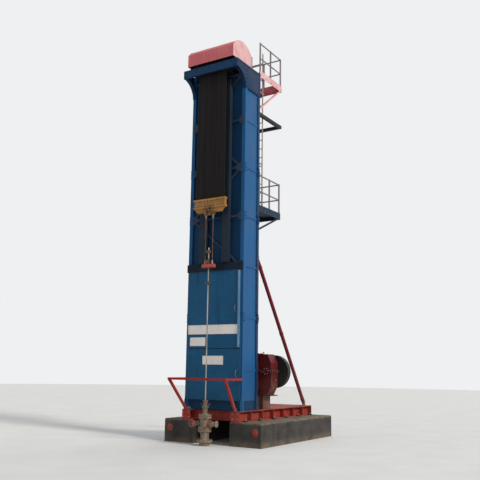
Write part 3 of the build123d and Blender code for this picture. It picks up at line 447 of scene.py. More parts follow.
def edge_group():
    """Mask: where the surface turns sharply within the radius, broken up by noise, as paint wears there."""
    tree, given, out = shader_group("edge_wear", {"Radius": 0.012, "Wear": 0.5}, ["Mask"])
    rounded = field(tree, "ShaderNodeBevel", 0, {"Radius": given["Radius"]}, samples=4)
    true = field(tree, "ShaderNodeNewGeometry", "Normal")
    agree = field(tree, "ShaderNodeVectorMath", "Value", {0: rounded, 1: true}, operation="DOT_PRODUCT")
    turn = (1.0 - agree).spread(0.02, 0.22)
    broken = noise(tree, 16.0, 6, 0.65).spread(0.42, 0.62)
    feed(out["Mask"], (turn * broken * given["Wear"]).held())
    return tree


def chip_group():
    """Mask: small spots where paint has come off. Height: how far the paint stands above them."""
    tree, given, out = shader_group("paint_chips", {"Amount": 0.3, "Scale": 14.0}, ["Mask", "Height"])
    spots = noise(tree, given["Scale"], 7.0, 0.7)
    level = 0.80 - noise(tree, 1.7, 3) * given["Amount"]
    mask = (spots - level).spread(0.0, 0.03)
    feed(out["Mask"], mask)
    feed(out["Height"], 1.0 - mask)
    return tree


def sheet_group():
    """Height: sprayed paint's fine grain on top of the slow waves of thin plate."""
    tree, given, out = shader_group("sheet_surface", {"Grain": 0.5, "Waves": 0.5}, ["Height"])
    grain = noise(tree, 160.0, 2) * given["Grain"] * 0.02
    waves = noise(tree, 1.9, 2, stretch=(1, 1, 0.45)) * given["Waves"]
    feed(out["Height"], grain + waves)
    return tree


def tread_group():
    """Height: a raised lozenge in each square cell of an upward face, turned from cell to cell."""
    tree, given, out = shader_group("tread_plate", {"Pitch": 0.035}, ["Height"])
    cells = [axis_of(tree, letter) / given["Pitch"] for letter in "XY"]
    across, along = [cell.changed("FRACT") - 0.5 for cell in cells]
    number = cells[0].changed("FLOOR") + cells[1].changed("FLOOR")
    turn = number.changed("FLOORED_MODULO", 2.0) * 2.0 - 1.0
    aside = turn * along
    long_way = ((across + aside) / 0.85).changed("POWER", 2.0)
    short_way = ((across - aside) / 0.24).changed("POWER", 2.0)
    lozenge = (long_way + short_way).spread(1.0, 0.45)
    feed(out["Height"], lozenge * facing_of(tree, "Z").spread(0.7, 0.9))
    return tree


weather = weather_group()
edge_wear = edge_group()
paint_chips = chip_group()
sheet_surface = sheet_group()
tread_plate = tread_group()

dust_colour = (0.33, 0.25, 0.17)
rust_colour = (0.13, 0.055, 0.03)
metal_colour = (0.20, 0.17, 0.15)
trodden_colour = (0.21, 0.18, 0.16)
# pale pink for faces towards the key lamp and upward faces: partly faded paint, partly painted sunlight
faded_and_lit_colour = (0.66, 0.43, 0.42)
low_middle_colour = (0.03, 0.02, 0.014)
rounded_edge = 0.004


def grouped(tree, group, **values):
    """The outputs of a shader group placed in a material with its own values."""
    made = add(tree, "ShaderNodeGroup", node_tree=group)
    for key, value in values.items():
        made.inputs[key].default_value = value
    return {socket.name: Field(socket) for socket in made.outputs}


def new_material(name, specular=0.3, **fixed):
    """A material, its tree and its shader's inputs; what is the same all over is set on the shader."""
    material = bpy.data.materials.new(name)
    material.use_nodes = True
    sockets = material.node_tree.nodes["Principled BSDF"].inputs
    sockets["Specular IOR Level"].default_value = specular
    for key, value in fixed.items():
        sockets[key].default_value = value
    return material, material.node_tree, sockets


def coat_of(material):
    """A finished paint's tree, its shader's inputs and its colour, for what is laid over it."""
    sockets = material.node_tree.nodes["Principled BSDF"].inputs
    return material.node_tree, sockets, Field(sockets["Base Color"].links[0].from_socket)


def bumped(tree, sockets, height, distance):
    """Bump from the height, on edges that catch the light as if they were rounded."""
    rounded = field(tree, "ShaderNodeBevel", 0, {"Radius": rounded_edge}, samples=4)
    inputs = {"Height": height, "Distance": distance, "Normal": rounded}
    feed(sockets["Normal"], field(tree, "ShaderNodeBump", 0, inputs))


def painted(name, colour, faded, streak, rough, streaks, dust, wear, chips, waves=0.0, specular=0.2,
            soil=dust_colour):
    """Sprayed paint on steel: it fades in blotches, streaks down, chips to rust and gathers soil low down."""
    material, tree, sockets = new_material(name, specular)
    aged = grouped(tree, weather, Streaks=streaks, Dust=dust)
    edge = grouped(tree, edge_wear, Wear=wear)
    chip = grouped(tree, paint_chips, Amount=chips)
    surface = grouped(tree, sheet_surface, Grain=0.6, Waves=waves)
    coat = aged["Fade"].between(colour, faded)
    bare = noise(tree, 30.0).spread(0.4, 0.6).between(rust_colour, metal_colour)
    lost = edge["Mask"].most(chip["Mask"])
    feed(sockets["Base Color"], layered(coat, (aged["Streaks"], streak), (lost, bare), (aged["Dust"], soil)))
    dull = aged["Fade"] * 0.16 + rough + aged["Dust"] * 0.35 + lost * 0.3
    feed(sockets["Roughness"], dull.held())
    bumped(tree, sockets, surface["Height"] + chip["Height"] * 0.03, 0.02)
    return material


def treaded(material):
    """Raised lozenges underfoot, worn bright on their tops."""
    tree, sockets, coat = coat_of(material)
    height = sockets["Normal"].links[0].from_node.inputs["Height"]
    smooth = Field(height.links[0].from_socket)
    lozenge = grouped(tree, tread_plate, Pitch=0.04)["Height"]
    feed(height, smooth + lozenge * 0.12)
    walked = lozenge * noise(tree, 2.4, 4).spread(0.42, 0.62, 0.05, 0.6)
    feed(sockets["Base Color"], walked.between(coat, trodden_colour))


def sun_faded_and_lit(material):
    """Paint made paler on top and on faces turned to the right, towards the key lamp: partly sun fading,
    partly painted sunlight.
    """
    tree, sockets, coat = coat_of(material)
    # painted sunlight, partly sun fading: paler where the surface faces right, towards the key lamp, and
    # where it faces up
    facing_key_lamp = facing_of(tree, "X").most(facing_of(tree, "Z") * 0.6)
    cloud = noise(tree, 2.6, 5).spread(0.3, 0.7, 0.55, 1.0)
    pale = (facing_key_lamp.spread(0.3, 0.95, 0.0, 0.95) * cloud).held()
    feed(sockets["Base Color"], pale.between(coat, faded_and_lit_colour))


def darkened_low_middle(material):
    """The clamp's paint made dark low down round its middle."""
    tree, sockets, coat = coat_of(material)
    inward = axis_of(tree, "X").changed("ABSOLUTE").spread(0.33, 0.02)
    lower = axis_of(tree, "Z").spread(7.22, 7.0)
    # darker low down round the clamp's middle
    low_middle_mask = inward * lower * noise(tree, 9.0, 5).spread(0.3, 0.6)
    feed(sockets["Base Color"], low_middle_mask.between(coat, low_middle_colour))


def painted_rear_shade(material):
    """Painted shade: paint much darker on the tower's two rear posts."""
    tree, sockets, coat = coat_of(material)
    # painted shade: from the front face of the rear posts backwards, the colour is multiplied darker
    behind = axis_of(tree, "Y").spread(y_back - post - 0.02, y_back - post - 0.01)
    feed(sockets["Base Color"], behind.between(coat, (0.34, 0.34, 0.40), "MULTIPLY"))


def concrete_material():
    """Cast concrete: board lines along the length, pores, water marks from the top and earth at the foot."""
    material, tree, sockets = new_material("cast_concrete", 0.1, Roughness=0.9)
    aged = grouped(tree, weather, Streaks=0.9, Dust=0.75)
    edge = grouped(tree, edge_wear, Radius=0.03, Wear=0.9)
    board_height = 0.17
    z = axis_of(tree, "Z")
    grit = noise(tree, 55.0, 6, 0.7)
    cloud = noise(tree, 2.2, 6, 0.6)
    foot = z.spread(0.26, 0.0) * cloud.spread(0.25, 0.7, 0.3, 1.0)
    tone = layered(
        cloud.spread(0.3, 0.7).between((0.030, 0.028, 0.027), (0.062, 0.058, 0.054)),
        (grit.spread(0.35, 0.7) * 0.4, (0.095, 0.088, 0.082)),
        (aged["Streaks"] * 0.8, (0.018, 0.017, 0.016)),
        (edge["Mask"], (0.13, 0.122, 0.112)),
        (foot * 0.6, (0.20, 0.15, 0.10)),
        (aged["Dust"] * z.spread(0.6, 0.68), dust_colour),
    )
    feed(sockets["Base Color"], tone)
    pores = field(tree, "ShaderNodeTexVoronoi", "Distance", {"Vector": place(tree), "Scale": 38.0})
    boards = (z * (1 / board_height)).changed("FRACT")
    seam = boards.spread(0.0, 0.05) * boards.spread(1.0, 0.95)
    bumped(tree, sockets, pores.spread(0.05, 0.2) * 0.35 + seam * 0.5 + grit * 0.5, 0.01)
    return material


def belt_material():
    """Ply belt: cords along its length, a fine cross weave, long pale scuffs and greasy edges."""
    material, tree, sockets = new_material("belt_ply", 0.08)
    cord_pitch, weave_pitch = 0.0125, 0.008
    x = axis_of(tree, "X")
    runs = noise(tree, 1.0, 5, 0.6, (13, 2, 0.22))
    scuff = noise(tree, 1.0, 6, 0.7, (2.2, 2.2, 14))
    tone = layered(
        runs.spread(0.38, 0.68).between((0.006, 0.0052, 0.0052), (0.018, 0.015, 0.0145)),
        (noise(tree, 1.3, 4).spread(0.4, 0.7) * 0.5, (0.012, 0.009, 0.0095)),
        (x.changed("ABSOLUTE").spread(0.50, 0.525) * 0.6, (0.036, 0.030, 0.027)),
        (scuff.spread(0.60, 0.8) * 0.35, (0.045, 0.039, 0.036)),
    )
    feed(sockets["Base Color"], tone)
    feed(sockets["Roughness"], runs.spread(0.3, 0.8, 0.55, 0.8))
    cords = (x * (2 * math.pi / cord_pitch)).changed("SINE")
    weave = (axis_of(tree, "Z") * (2 * math.pi / weave_pitch)).changed("SINE")
    bumped(tree, sockets, cords * 0.5 + weave * 0.25, 0.0012)
    return material


def bare_steel(name, colour, rough, grease):
    """Machined steel with a brushed grain across its length, grease smears and a little rust."""
    material, tree, sockets = new_material(name, 0.5)
    grain = noise(tree, 4.0, 4, stretch=(40, 40, 6))
    dirty = noise(tree, 1.0, 4, stretch=(8, 8, 0.9)).spread(0.45, 0.7) * grease
    spots = noise(tree, 21.0, 6).spread(0.6, 0.72) * 0.6
    steel = grain.spread(0.3, 0.7).between(colour, tuple(0.72 * part for part in colour))
    feed(sockets["Base Color"], layered(steel, (spots, rust_colour), (dirty, (0.03, 0.022, 0.016))))
    feed(sockets["Metallic"], (dirty + spots).spread(0.0, 1.0, 0.9, 0.25))
    feed(sockets["Roughness"], grain.spread(0.2, 0.8, rough, rough + 0.2))
    bumped(tree, sockets, grain, 0.0008)
    return material


def cast_metal():
    """Dusty cast fittings: old grey-tan paint over a sandy cast grain, with oil and rust in the hollows."""
    material, tree, sockets = new_material("cast_fitting", 0.25)
    edge = grouped(tree, edge_wear, Radius=0.008, Wear=0.8)
    aged = grouped(tree, weather, Streaks=0.9, Dust=0.7)
    oil = noise(tree, 1.0, 5, stretch=(7, 7, 2)).spread(0.5, 0.68)
    tone = layered(
        noise(tree, 6.5, 5).spread(0.32, 0.68).between((0.13, 0.100, 0.072), (0.25, 0.195, 0.145)),
        (oil * 0.75, (0.035, 0.028, 0.022)),
        (aged["Streaks"], rust_colour),
        (edge["Mask"], (0.36, 0.33, 0.30)),
        (aged["Dust"] * 0.6, (0.30, 0.225, 0.16)),
    )
    feed(sockets["Base Color"], tone)
    feed(sockets["Roughness"], oil.spread(0.0, 1.0, 0.75, 0.35))
    bumped(tree, sockets, noise(tree, 190.0, 3), 0.0015)
    return material


def rope_steel():
    """Greased wire rope: fine wires along each strand, dark grease between them and red-brown rust on top."""
    material, tree, sockets = new_material("greased_wire", 0.4, Metallic=0.55, Roughness=0.5)
    wires = noise(tree, 1.0, 2, stretch=(260, 260, 22))
    rust = noise(tree, 9.0, 5).spread(0.35, 0.65).between((0.15, 0.055, 0.035), (0.06, 0.04, 0.032))
    feed(sockets["Base Color"], layered(rust, (wires.spread(0.45, 0.7) * 0.5, (0.22, 0.12, 0.09))))
    bumped(tree, sockets, wires, 0.0012)
    return material


# Each paint: its material's name, its colour fresh, faded and streaked, then how rough, streaked, dusty,
# worn, chipped, wavy and glossy it is, and its soil where that isn't plain dust
# a dark blue-grey laid in place of dust in some blue paints: they go darker low down and on upward faces
low_darkening = (0.016, 0.034, 0.046)
tower_coat = (0.009, 0.074, 0.198), (0.012, 0.088, 0.224), (0.005, 0.034, 0.085)
tower_wear = 0.4, 0.6, 0.5, 0.5, 0.2, 0.5, 0.09, low_darkening
skid_coat = (0.30, 0.013, 0.011), (0.25, 0.017, 0.014), (0.10, 0.013, 0.011)
paints = {
    "tower_blue": ("tower_paint", *tower_coat, *tower_wear),
    # the posts' paint, which gets painted shade on the rear posts further down
    "posts": ("post_paint_rear_shade", *tower_coat, *tower_wear),
    "skid_red": ("skid_paint", *skid_coat, 0.5, 0.6, 0.25, 0.6, 0.28, 0.0, 0.1),
    "deck": ("deck_paint", *skid_coat, 0.5, 0.3, 0.45, 0.6, 0.4, 0.0, 0.1),
    "walkway": (
        "walkway_paint", (0.006, 0.020, 0.040), (0.010, 0.030, 0.056), (0.006, 0.012, 0.018),
        0.5, 0.3, 0.5, 0.6, 0.3, 0.0, 0.1,
    ),
    "panel_blue": (
        "panel_paint", (0.007, 0.068, 0.152), (0.011, 0.086, 0.182), (0.005, 0.034, 0.075),
        0.38, 0.7, 0.7, 0.5, 0.22, 0.7, 0.12, low_darkening,
    ),
    # the guide channels: a near-black grey-blue, darker than their teal, painted shade
    "channel_teal": (
        "channel_painted_shade", (0.013, 0.022, 0.034), (0.019, 0.029, 0.043), (0.013, 0.011, 0.011),
        0.45, 0.8, 0.3, 0.6, 0.25, 0.1, 0.09,
    ),
    "lintel_dark": (
        "lintel_paint", (0.005, 0.013, 0.024), (0.008, 0.019, 0.034), (0.005, 0.008, 0.012),
        0.45, 0.6, 0.35, 0.6, 0.25, 0.0, 0.09,
    ),
    "hood_red": (
        "hood_paint", (0.52, 0.116, 0.124), (0.58, 0.165, 0.180), (0.36, 0.07, 0.065),
        0.55, 0.5, 0.1, 0.4, 0.25, 0.5,
    ),
    "brace_red": (
        "brace_paint", (0.140, 0.013, 0.018), (0.165, 0.022, 0.027), (0.05, 0.01, 0.012),
        0.45, 0.5, 0.35, 0.6, 0.3, 0.0, 0.1,
    ),
    "rail_paint": (
        "rail_coat", (0.185, 0.160, 0.172), (0.240, 0.205, 0.215), (0.10, 0.08, 0.08),
        0.5, 0.5, 0.2, 0.7, 0.3,
    ),
    "black_paint": (
        "black_coat", (0.010, 0.010, 0.011), (0.017, 0.016, 0.016), (0.024, 0.018, 0.014),
        0.45, 0.5, 0.3, 0.6, 0.25, 0.0, 0.10,
    ),
    "drive_red": (
        "drive_coat", (0.080, 0.005, 0.008), (0.100, 0.009, 0.012), (0.030, 0.006, 0.006),
        0.42, 0.7, 0.35, 0.6, 0.22, 0.0, 0.12,
    ),
    "clamp_yellow": (
        "clamp_ochre", (0.40, 0.195, 0.050), (0.30, 0.140, 0.034), (0.08, 0.045, 0.02),
        0.5, 0.8, 0.2, 0.7, 0.4,
    ),
    "carrier_red": (
        "carrier_coat", (0.44, 0.070, 0.050), (0.38, 0.08, 0.06), (0.12, 0.03, 0.02),
        0.45, 0.6, 0.2, 0.7, 0.3,
    ),
    # the front sheet and the sills: a darker copy of the tower's blue, painted shade
    "painted_shade_recess": (
        "recess_painted_shade", (0.005, 0.032, 0.084), (0.007, 0.040, 0.100), (0.004, 0.016, 0.036),
        0.45, 0.6, 0.6, 0.5, 0.2, 0.4, 0.08, low_darkening,
    ),
    "head": (
        "head_paint", (0.008, 0.036, 0.092), (0.011, 0.046, 0.112), (0.005, 0.018, 0.042),
        0.42, 0.6, 0.3, 0.5, 0.2, 0.4, 0.08,
    ),
    # front bracing and its plates: a dark grey-blue, painted shade of the front, kept light enough to stand
    # for the bars' lit edges, painted light
    "truss": (
        "truss_painted_shade_and_light", (0.022, 0.040, 0.072), (0.030, 0.050, 0.086), (0.012, 0.016, 0.026),
        0.45, 0.6, 0.5, 0.6, 0.25, 0.0, 0.10, low_darkening,
    ),
    "cheek": (
        "cheek_paint", (0.004, 0.021, 0.060), (0.006, 0.028, 0.075), (0.003, 0.011, 0.027),
        0.42, 0.6, 0.3, 0.5, 0.2, 0.4, 0.08,
    ),
    "sign": (
        "sign_enamel", (0.72, 0.67, 0.64), (0.64, 0.58, 0.54), (0.32, 0.23, 0.18),
        0.4, 0.6, 0.25, 0.7, 0.25, 0.1, 0.4,
    ),
    # a pale blue for the strip on the panel's right edge: painted highlight
    "painted_highlight_strip": (
        "painted_highlight_coat", (0.10, 0.22, 0.35), (0.16, 0.30, 0.43), (0.03, 0.09, 0.15),
        0.4, 0.6, 0.3, 0.8, 0.3,
    ),
    "handwheel": (
        "handwheel_coat", (0.34, 0.022, 0.017), (0.28, 0.025, 0.019), (0.10, 0.02, 0.02),
        0.45, 0.5, 0.4, 0.8, 0.4,
    ),
}
materials = {finish: painted(*row) for finish, row in paints.items()}
treaded(materials["deck"])
treaded(materials["walkway"])
# painted sunlight, partly sun fading, on the hood's paint
sun_faded_and_lit(materials["hood_red"])
darkened_low_middle(materials["clamp_yellow"])
# painted shade on the rear posts
painted_rear_shade(materials["posts"])
materials["concrete"] = concrete_material()
materials["belt"] = belt_material()
materials["rope"] = rope_steel()
materials["well_paint"] = cast_metal()
materials["bright_steel"] = bare_steel("rod_steel", (0.46, 0.42, 0.36), 0.28, 0.55)
materials["bolt"] = bare_steel("bolt_zinc", (0.26, 0.25, 0.24), 0.42, 0.5)
materials["rod_clamp"] = bare_steel("greased_steel", (0.15, 0.075, 0.045), 0.45, 0.8)

# Nodes whose finish isn't their slot's own
other_finish = {
    "tower_posts": "posts",
    # the front sheet's darker blue is painted shade
    "front_sheet": "painted_shade_recess",
    "front_truss": "truss",
    "head_cheek_right": "cheek",
    "head_cheek_left": "cheek",
    "head_front_beam": "head",
    "rod_clamps": "rod_clamp",
    "drive_deck": "deck",
    "mid_platform": "walkway",
}
for row in frame["record"]["subparts"]:
    shown = nodes[row["node"]]
    shown.data.materials.clear()
    shown.data.materials.append(materials[other_finish.get(row["node"], row["material_slot"])])


# Pieces that the CAD leaves out

def tower_fasteners():
    """Rows of heads at equal steps: on the lintel, round the cheeks, on splices and at the posts' feet."""
    bar = grid_of(line(-0.96, 0.96, 13), [lintel_low.y], [lintel_low.z + 0.04, lintel_high.z - 0.04])
    fasteners("lintel_screws", "lintel_dark", screw(0.024), (bar, front_way))
    cheek = np.concatenate([
        grid_of([cheek_x], line(beam_front + 0.07, y_back - 0.07, 12), [tower_top - 0.06]),
        grid_of([cheek_x], [y_face + 0.06, y_back - 0.06], line(10.98, 11.50, 5)),
        grid_of([cheek_x], line(y_face + 0.18, y_back - 0.18, 5), [10.96]),
    ])
    beam = np.concatenate([
        grid_of([-0.97, -0.91, 0.91, 0.97], [beam_front], [11.50, 11.64]),
        grid_of(line(-0.78, 0.78, 7), [beam_front], [11.66]),
    ])
    fasteners("head_bolts", "cheek", hex_bolt(0.030), *sides_of(cheek), (beam, front_way))
    heights = [z + step for z in splice_levels for step in (-0.1, 0, 0.1)]
    post_rows = [y_face + 0.03, y_face + 0.09, y_back - 0.09, y_back - 0.03]
    splices = grid_of([half_tower + 0.012], post_rows, heights)
    fasteners("tower_bolts", "posts", hex_bolt(0.030), *sides_of(splices))
    foot_rows = [y_face - 0.03, y_face + 0.155, y_back - 0.155, y_back + 0.035]
    feet = mirrored(grid_of([0.80, 0.86], foot_rows, [skid_top + 0.025]))
    fasteners("foot_studs", "bolt", nut_and_stud(0.04), (feet, up_way))


def base_sills():
    """Sills between the posts' feet: a channel's outline carried along each side of the tower."""
    low, high = skid_top + 0.002, lower_low.z - 0.004
    web, flange, lap, set_back = 0.008, 0.06, 0.002, 0.03
    outline = np.array([
        (0, low), (0, high), (flange, high), (flange, high - web),
        (web, high - web), (web, low + web), (flange, low + web), (flange, low),
    ])
    side_x = half_tower - set_back
    shapes = []
    for y, way in ((y_face + set_back, 1), (y_back - set_back, -1)):
        shapes.append(extruded(outline * (way, 1) + (y, 0), -inner - lap, inner + lap, 0))
    for side in both:
        along = outline * (-side, 1) + (side * side_x, 0)
        shapes.append(extruded(along, y_face + post - lap, y_back - post + lap, 1))
    # the sills take the front sheet's darker blue: painted shade
    piece("base_sills", "painted_shade_recess", *shapes)
    heights = [low + 0.06, high - 0.05]
    front = grid_of(line(-0.78, 0.78, 7), [y_face + set_back], heights)
    side_spots = grid_of([side_x], line(y_face + 0.2, y_back - 0.2, 3), heights)
    fasteners("sill_screws", "painted_shade_recess", screw(0.022), (front, front_way), *sides_of(side_spots))


def splice_plates():
    """Flat plates over the joints of the posts, on the sides and on the front, and ears on the rear posts."""
    side = mirrored(grid_of([half_tower + 0.006], [y_face + 0.06, y_back - 0.06], splice_levels))
    front = mirrored(grid_of([half_tower - 0.06], [y_face - 0.005], splice_levels[1:]))
    piece("splice_plates", "posts", boxes((0.012, 0.112, 0.30), side), boxes((0.112, 0.010, 0.30), front))
    ear = np.array([(-0.005, -0.09), (0.075, -0.05), (0.075, 0.05), (-0.005, 0.09)])
    ear_x, half_ear = half_tower - 0.024, 0.006
    ears = [
        extruded(ear + (y_back, z), side * ear_x - half_ear, side * ear_x + half_ear, 0)
        for z in splice_levels for side in both
    ]
    piece("lifting_ears", "posts", *ears)


def panel_fasteners():
    """Small heads round the edge of both front panels and along the sheets' seams, at equal steps."""
    front = np.concatenate([
        grid_of([-0.937, 0.946], [panel_front], line(door_low.z + 0.05, door_high.z - 0.05, 12)),
        grid_of(line(-0.80, 0.80, 9), [panel_front], [door_low.z + 0.025, door_high.z - 0.03]),
        grid_of([-0.937, 0.937], [panel_front], line(lower_low.z + 0.05, lower_high.z - 0.05, 8)),
        grid_of(line(-0.80, 0.80, 9), [panel_front], [lower_low.z + 0.03, lower_high.z - 0.03]),
        mirrored(grid_of([0.42], [y_face - 0.15], line(5.6, 11.1, 12))),
    ])
    fasteners("panel_screws", "panel_blue", screw(0.022), (front, front_way))
    seams = grid_of([sheet_x], [y_face + 0.14, y_back - 0.14], line(1.36, 10.84, 44))
    ribs = grid_of([sheet_x + 0.018], line(y_face + 0.18, y_back - 0.18, 4), joint_levels[:6])
    rear = grid_of([-0.87, 0.87], [y_back - 0.026], line(1.36, 11.40, 42))
    cross = grid_of(line(-0.75, 0.75, 7), [y_back - 0.008], joint_levels[1:6])
    rows = [*sides_of(seams), *sides_of(ribs), (rear, rear_way), (cross, rear_way)]
    fasteners("sheet_screws", "tower_blue", screw(0.02), *rows)


def panel_fittings():
    """Hinges: turned barrels on flat leaves. Handles: a bar carried along a squared bow. A pale strip on the
    panel's right edge: painted highlight.
    """
    heights = [1.55, 2.45, 3.05, 3.95, 4.85]
    barrel = [(0.008, -0.07), (0.014, -0.065), (0.014, 0.065), (0.008, 0.07)]
    barrels = lathed(barrel, 12, grid_of([-0.962], [panel_front - 0.008], heights))
    leaves = boxes((0.05, 0.006, 0.10), grid_of([-0.928], [panel_front - 0.003], heights), 0.002)
    piece("panel_hinges", "panel_blue", barrels, leaves)
    rise, reach = 0.09, 0.045
    bow = np.array([
        (0, 0, -rise), (0, 0.01 - reach, 0.005 - rise), (0, -reach, 0.02 - rise),
        (0, -reach, rise - 0.02), (0, 0.01 - reach, rise - 0.005), (0, 0, rise),
    ])
    spots = np.array([(0.78, panel_front, 3.95), (0.84, panel_front, 2.05)])
    bows = [carried(circle(0.008, 10), bow + spot, across=right_way) for spot in spots]
    feet = np.concatenate([spots + (0, -0.002, side * rise) for side in both])
    piece("panel_handles", "bolt", *bows, boxes((0.036, 0.005, 0.036), feet, thin_edge))
    # the pale strip on the panel's right edge, front and side: painted highlight
    x0, x1 = 0.8685, 0.9315
    z0, z1 = door_low.z + 0.03, door_high.z - 0.03
    strip = bevelled_box((x0, door_low.y - 0.003, z0), (x1, door_low.y + 0.002, z1))
    side = bevelled_box((x1 - 0.004, door_low.y + 0.001, z0), (x1 + 0.001, panel_front, z1))
    piece("panel_edge_painted_highlight", "painted_highlight_strip", strip, side)


def sign_plate(name, x0, x1, z0, z1):
    """A blank plate: a thin sheet with cut-back edges inside a raised border, held by four domed rivets."""
    y, rim = panel_front, 0.012
    sheet = bevelled_box((x0, y - 0.004, z0), (x1, y, z1))
    sides = (x0, z0, x1, z0 + rim), (x0, z1 - rim, x1, z1)
    sides += (x0, z0 + rim, x0 + rim, z1 - rim), (x1 - rim, z0 + rim, x1, z1 - rim)
    border = [bevelled_box((xa, y - 0.006, za), (xb, y - 0.003, zb)) for xa, za, xb, zb in sides]
    corners = grid_of([x0 + 0.03, x1 - 0.03], [y - 0.004], [z0 + 0.03, z1 - 0.03])
    piece(name, "sign", sheet, *border, placed(rivet(0.014), corners, front_way))


def truss_gussets():
    """Plates at the joints of the front bracing: a six-cornered outline carried through their thickness."""
    plate_top, bolt_top, plate_front = 11.44, 11.42, y_face - 0.008
    plates = []
    bolts = []
    for number, z in enumerate(joint_levels[2:]):
        wide_side = 1 - 2 * (number % 2)
        for reach, way in ((0.26, wide_side), (0.13, -wide_side)):
            outline = [(0.05, -0.17), (0, -0.17), (-reach, -0.03), (-reach, 0.03), (0, 0.17), (0.05, 0.17)]
            outline = np.array(outline) * (way, 1) + (way * inner, z)
            outline[:, 1] = np.minimum(outline[:, 1], plate_top)
            plates.append(extruded(outline, plate_front, y_face - 0.0005, 1))
            spots = [(0.025, -0.12), (0.025, 0), (0.025, 0.12), (-reach * 0.35, 0), (-reach * 0.75, 0)]
            bolts += [(way * (inner + x), plate_front, z + up) for x, up in spots if z + up < bolt_top]
    piece("truss_gussets", "truss", *plates)
    fasteners("gusset_bolts", "truss", hex_bolt(0.024), (bolts, front_way))


def skid_fasteners():
    """Clips over the beams' lower flanges, cut-back plates with studs, and heads along the deck's edges."""
    ys = line(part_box("skid_beam_right")[0].y + 0.25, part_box("skid_beam_right")[1].y - 0.25, 6)
    clips = boxes((0.13, 0.11, 0.016), mirrored(grid_of([0.665, 1.065], ys, [0.708])))
    heels = boxes((0.05, 0.10, 0.02), mirrored(grid_of([0.66, 1.095], ys, [0.69])))
    piece("skid_clips", "black_paint", clips, heels)
    studs = mirrored(grid_of([0.675, 1.085], ys, [0.716]))
    ends = mirrored(grid_of([0.77, 0.96], [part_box("skid_beam_right")[0].y], [0.76, 0.90]))
    fasteners("skid_studs", "bolt", nut_and_stud(0.036), (studs, up_way), (ends, front_way))
    deck = mirrored(grid_of([0.74, 0.985], line(y_back + 0.25, 2.60, 11), [deck_top]))
    fasteners("deck_screws", "skid_red", screw(0.022), (deck, up_way))


def block_lugs():
    """Lifting lugs on the concrete's front: a round bar bent into a bow, standing out from a round plate."""
    spots = mirrored([(1.50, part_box("foundation_right")[0].y, 0.42)])
    half_bow = np.array([(0.060, 0, 0), (0.058, -0.030, 0), (0.036, -0.052, 0)])
    bow = np.concatenate([half_bow * (-1, 1, 1), [(0, -0.060, 0)], half_bow[::-1]])
    bows = [carried(circle(0.013, 10), bow + spot, across=up_way) for spot in spots]
    plates = lathed([(0.105, 0), (0.105, 0.006), (0.098, 0.010)], 28, spots, front_way)
    piece("block_lugs", "skid_red", *bows, plates)


def hood_trim():
    """Flat bands carried over the hood: up the front wall, round its arch, an arc through its three highest
    points, and down. A hem runs round its lower edge, and two lifting rings stand on top."""
    low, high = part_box("hood")
    wall = low.z + 0.39
    middle = (low.y + high.y) / 2
    half = (high.y - low.y) / 2
    rise = high.z - wall
    radius = (half ** 2 + rise ** 2) / (2 * rise)
    swing = math.asin(half / radius)
    angle = line(-swing, swing, 25)
    arc_y = middle + radius * np.sin(angle)
    arc_z = high.z - radius + radius * np.cos(angle)
    ys = np.concatenate([[low.y], arc_y, [high.y]])
    zs = np.concatenate([[low.z], arc_z, [low.z]])
    over = np.stack([0 * ys, ys, zs], -1)
    band_x = [low.x + 0.018, -0.29, 0.29, high.x - 0.018]
    half_bands = [0.018, 0.022, 0.022, 0.018]
    bands = [carried(strap(w, 0.004), over + (x, 0, 0), across=right_way) for x, w in zip(band_x, half_bands)]
    hem_top, stand = low.z + 0.05, 0.005
    hems = [
        bevelled_box((low.x, low.y - stand, low.z), (high.x, low.y + 0.001, hem_top)),
        bevelled_box((low.x, high.y - 0.001, low.z), (high.x, high.y + stand, hem_top)),
    ]
    hems += [bevelled_box((x - stand, low.y, low.z), (x + stand, high.y, hem_top)) for x in (low.x, high.x)]
    tops = mirrored([(0.5, middle, high.z)])
    rings = [tube_ring(spot + (0, 0, 0.035), 0.03, 0.007, right_way, steps=20) for spot in tops]
    feet = boxes((0.06, 0.12, 0.008), tops + (0, 0, 0.002))
    piece("hood_trim", "hood_red", *bands, *hems, *rings, feet)
    seams = grid_of(band_x, arc_y[::2], [0])
    lean = np.arcsin((seams[:, 1] - middle) / radius)
    seams[:, 2] = high.z - radius + (radius + 0.003) * np.cos(lean)
    out = np.stack([0 * lean, np.sin(lean), np.cos(lean)], -1)
    front = grid_of(line(low.x + 0.06, high.x - 0.06, 14), [low.y - stand], [low.z + 0.025])
    rear = front * (1, 0, 1) + (0, high.y + stand, 0)
    end = grid_of([high.x + stand], line(low.y + 0.06, high.y - 0.06, 9), [low.z + 0.025])
    rows = [(seams, out), (front, front_way), (rear, rear_way), *sides_of(end)]
    fasteners("hood_rivets", "hood_red", rivet(0.022), *rows)


def clamp_fasteners():
    """Heads through the belt clamp's two plates in two rows, a few below the shoulders, and end plates."""
    half_clamp = 0.046
    field_spots = grid_of([0.07, 0.16, 0.305, 0.38, 0.455, 0.53], [y_belt], [7.20, 7.12])
    spots = mirrored(np.concatenate([field_spots, [(0.115, y_belt, 6.96), (0.32, y_belt, 6.965)]]))
    rows = [(spots - (0, half_clamp, 0), front_way), (spots + (0, half_clamp, 0), rear_way)]
    fasteners("clamp_bolts", "bolt", hex_bolt(0.032), *rows)
    ends = mirrored([(0.575, y_belt, 7.06), (0.575, y_belt, 7.29)])
    piece("clamp_ends", "clamp_yellow", boxes((0.012, 0.15, 0.07), ends))


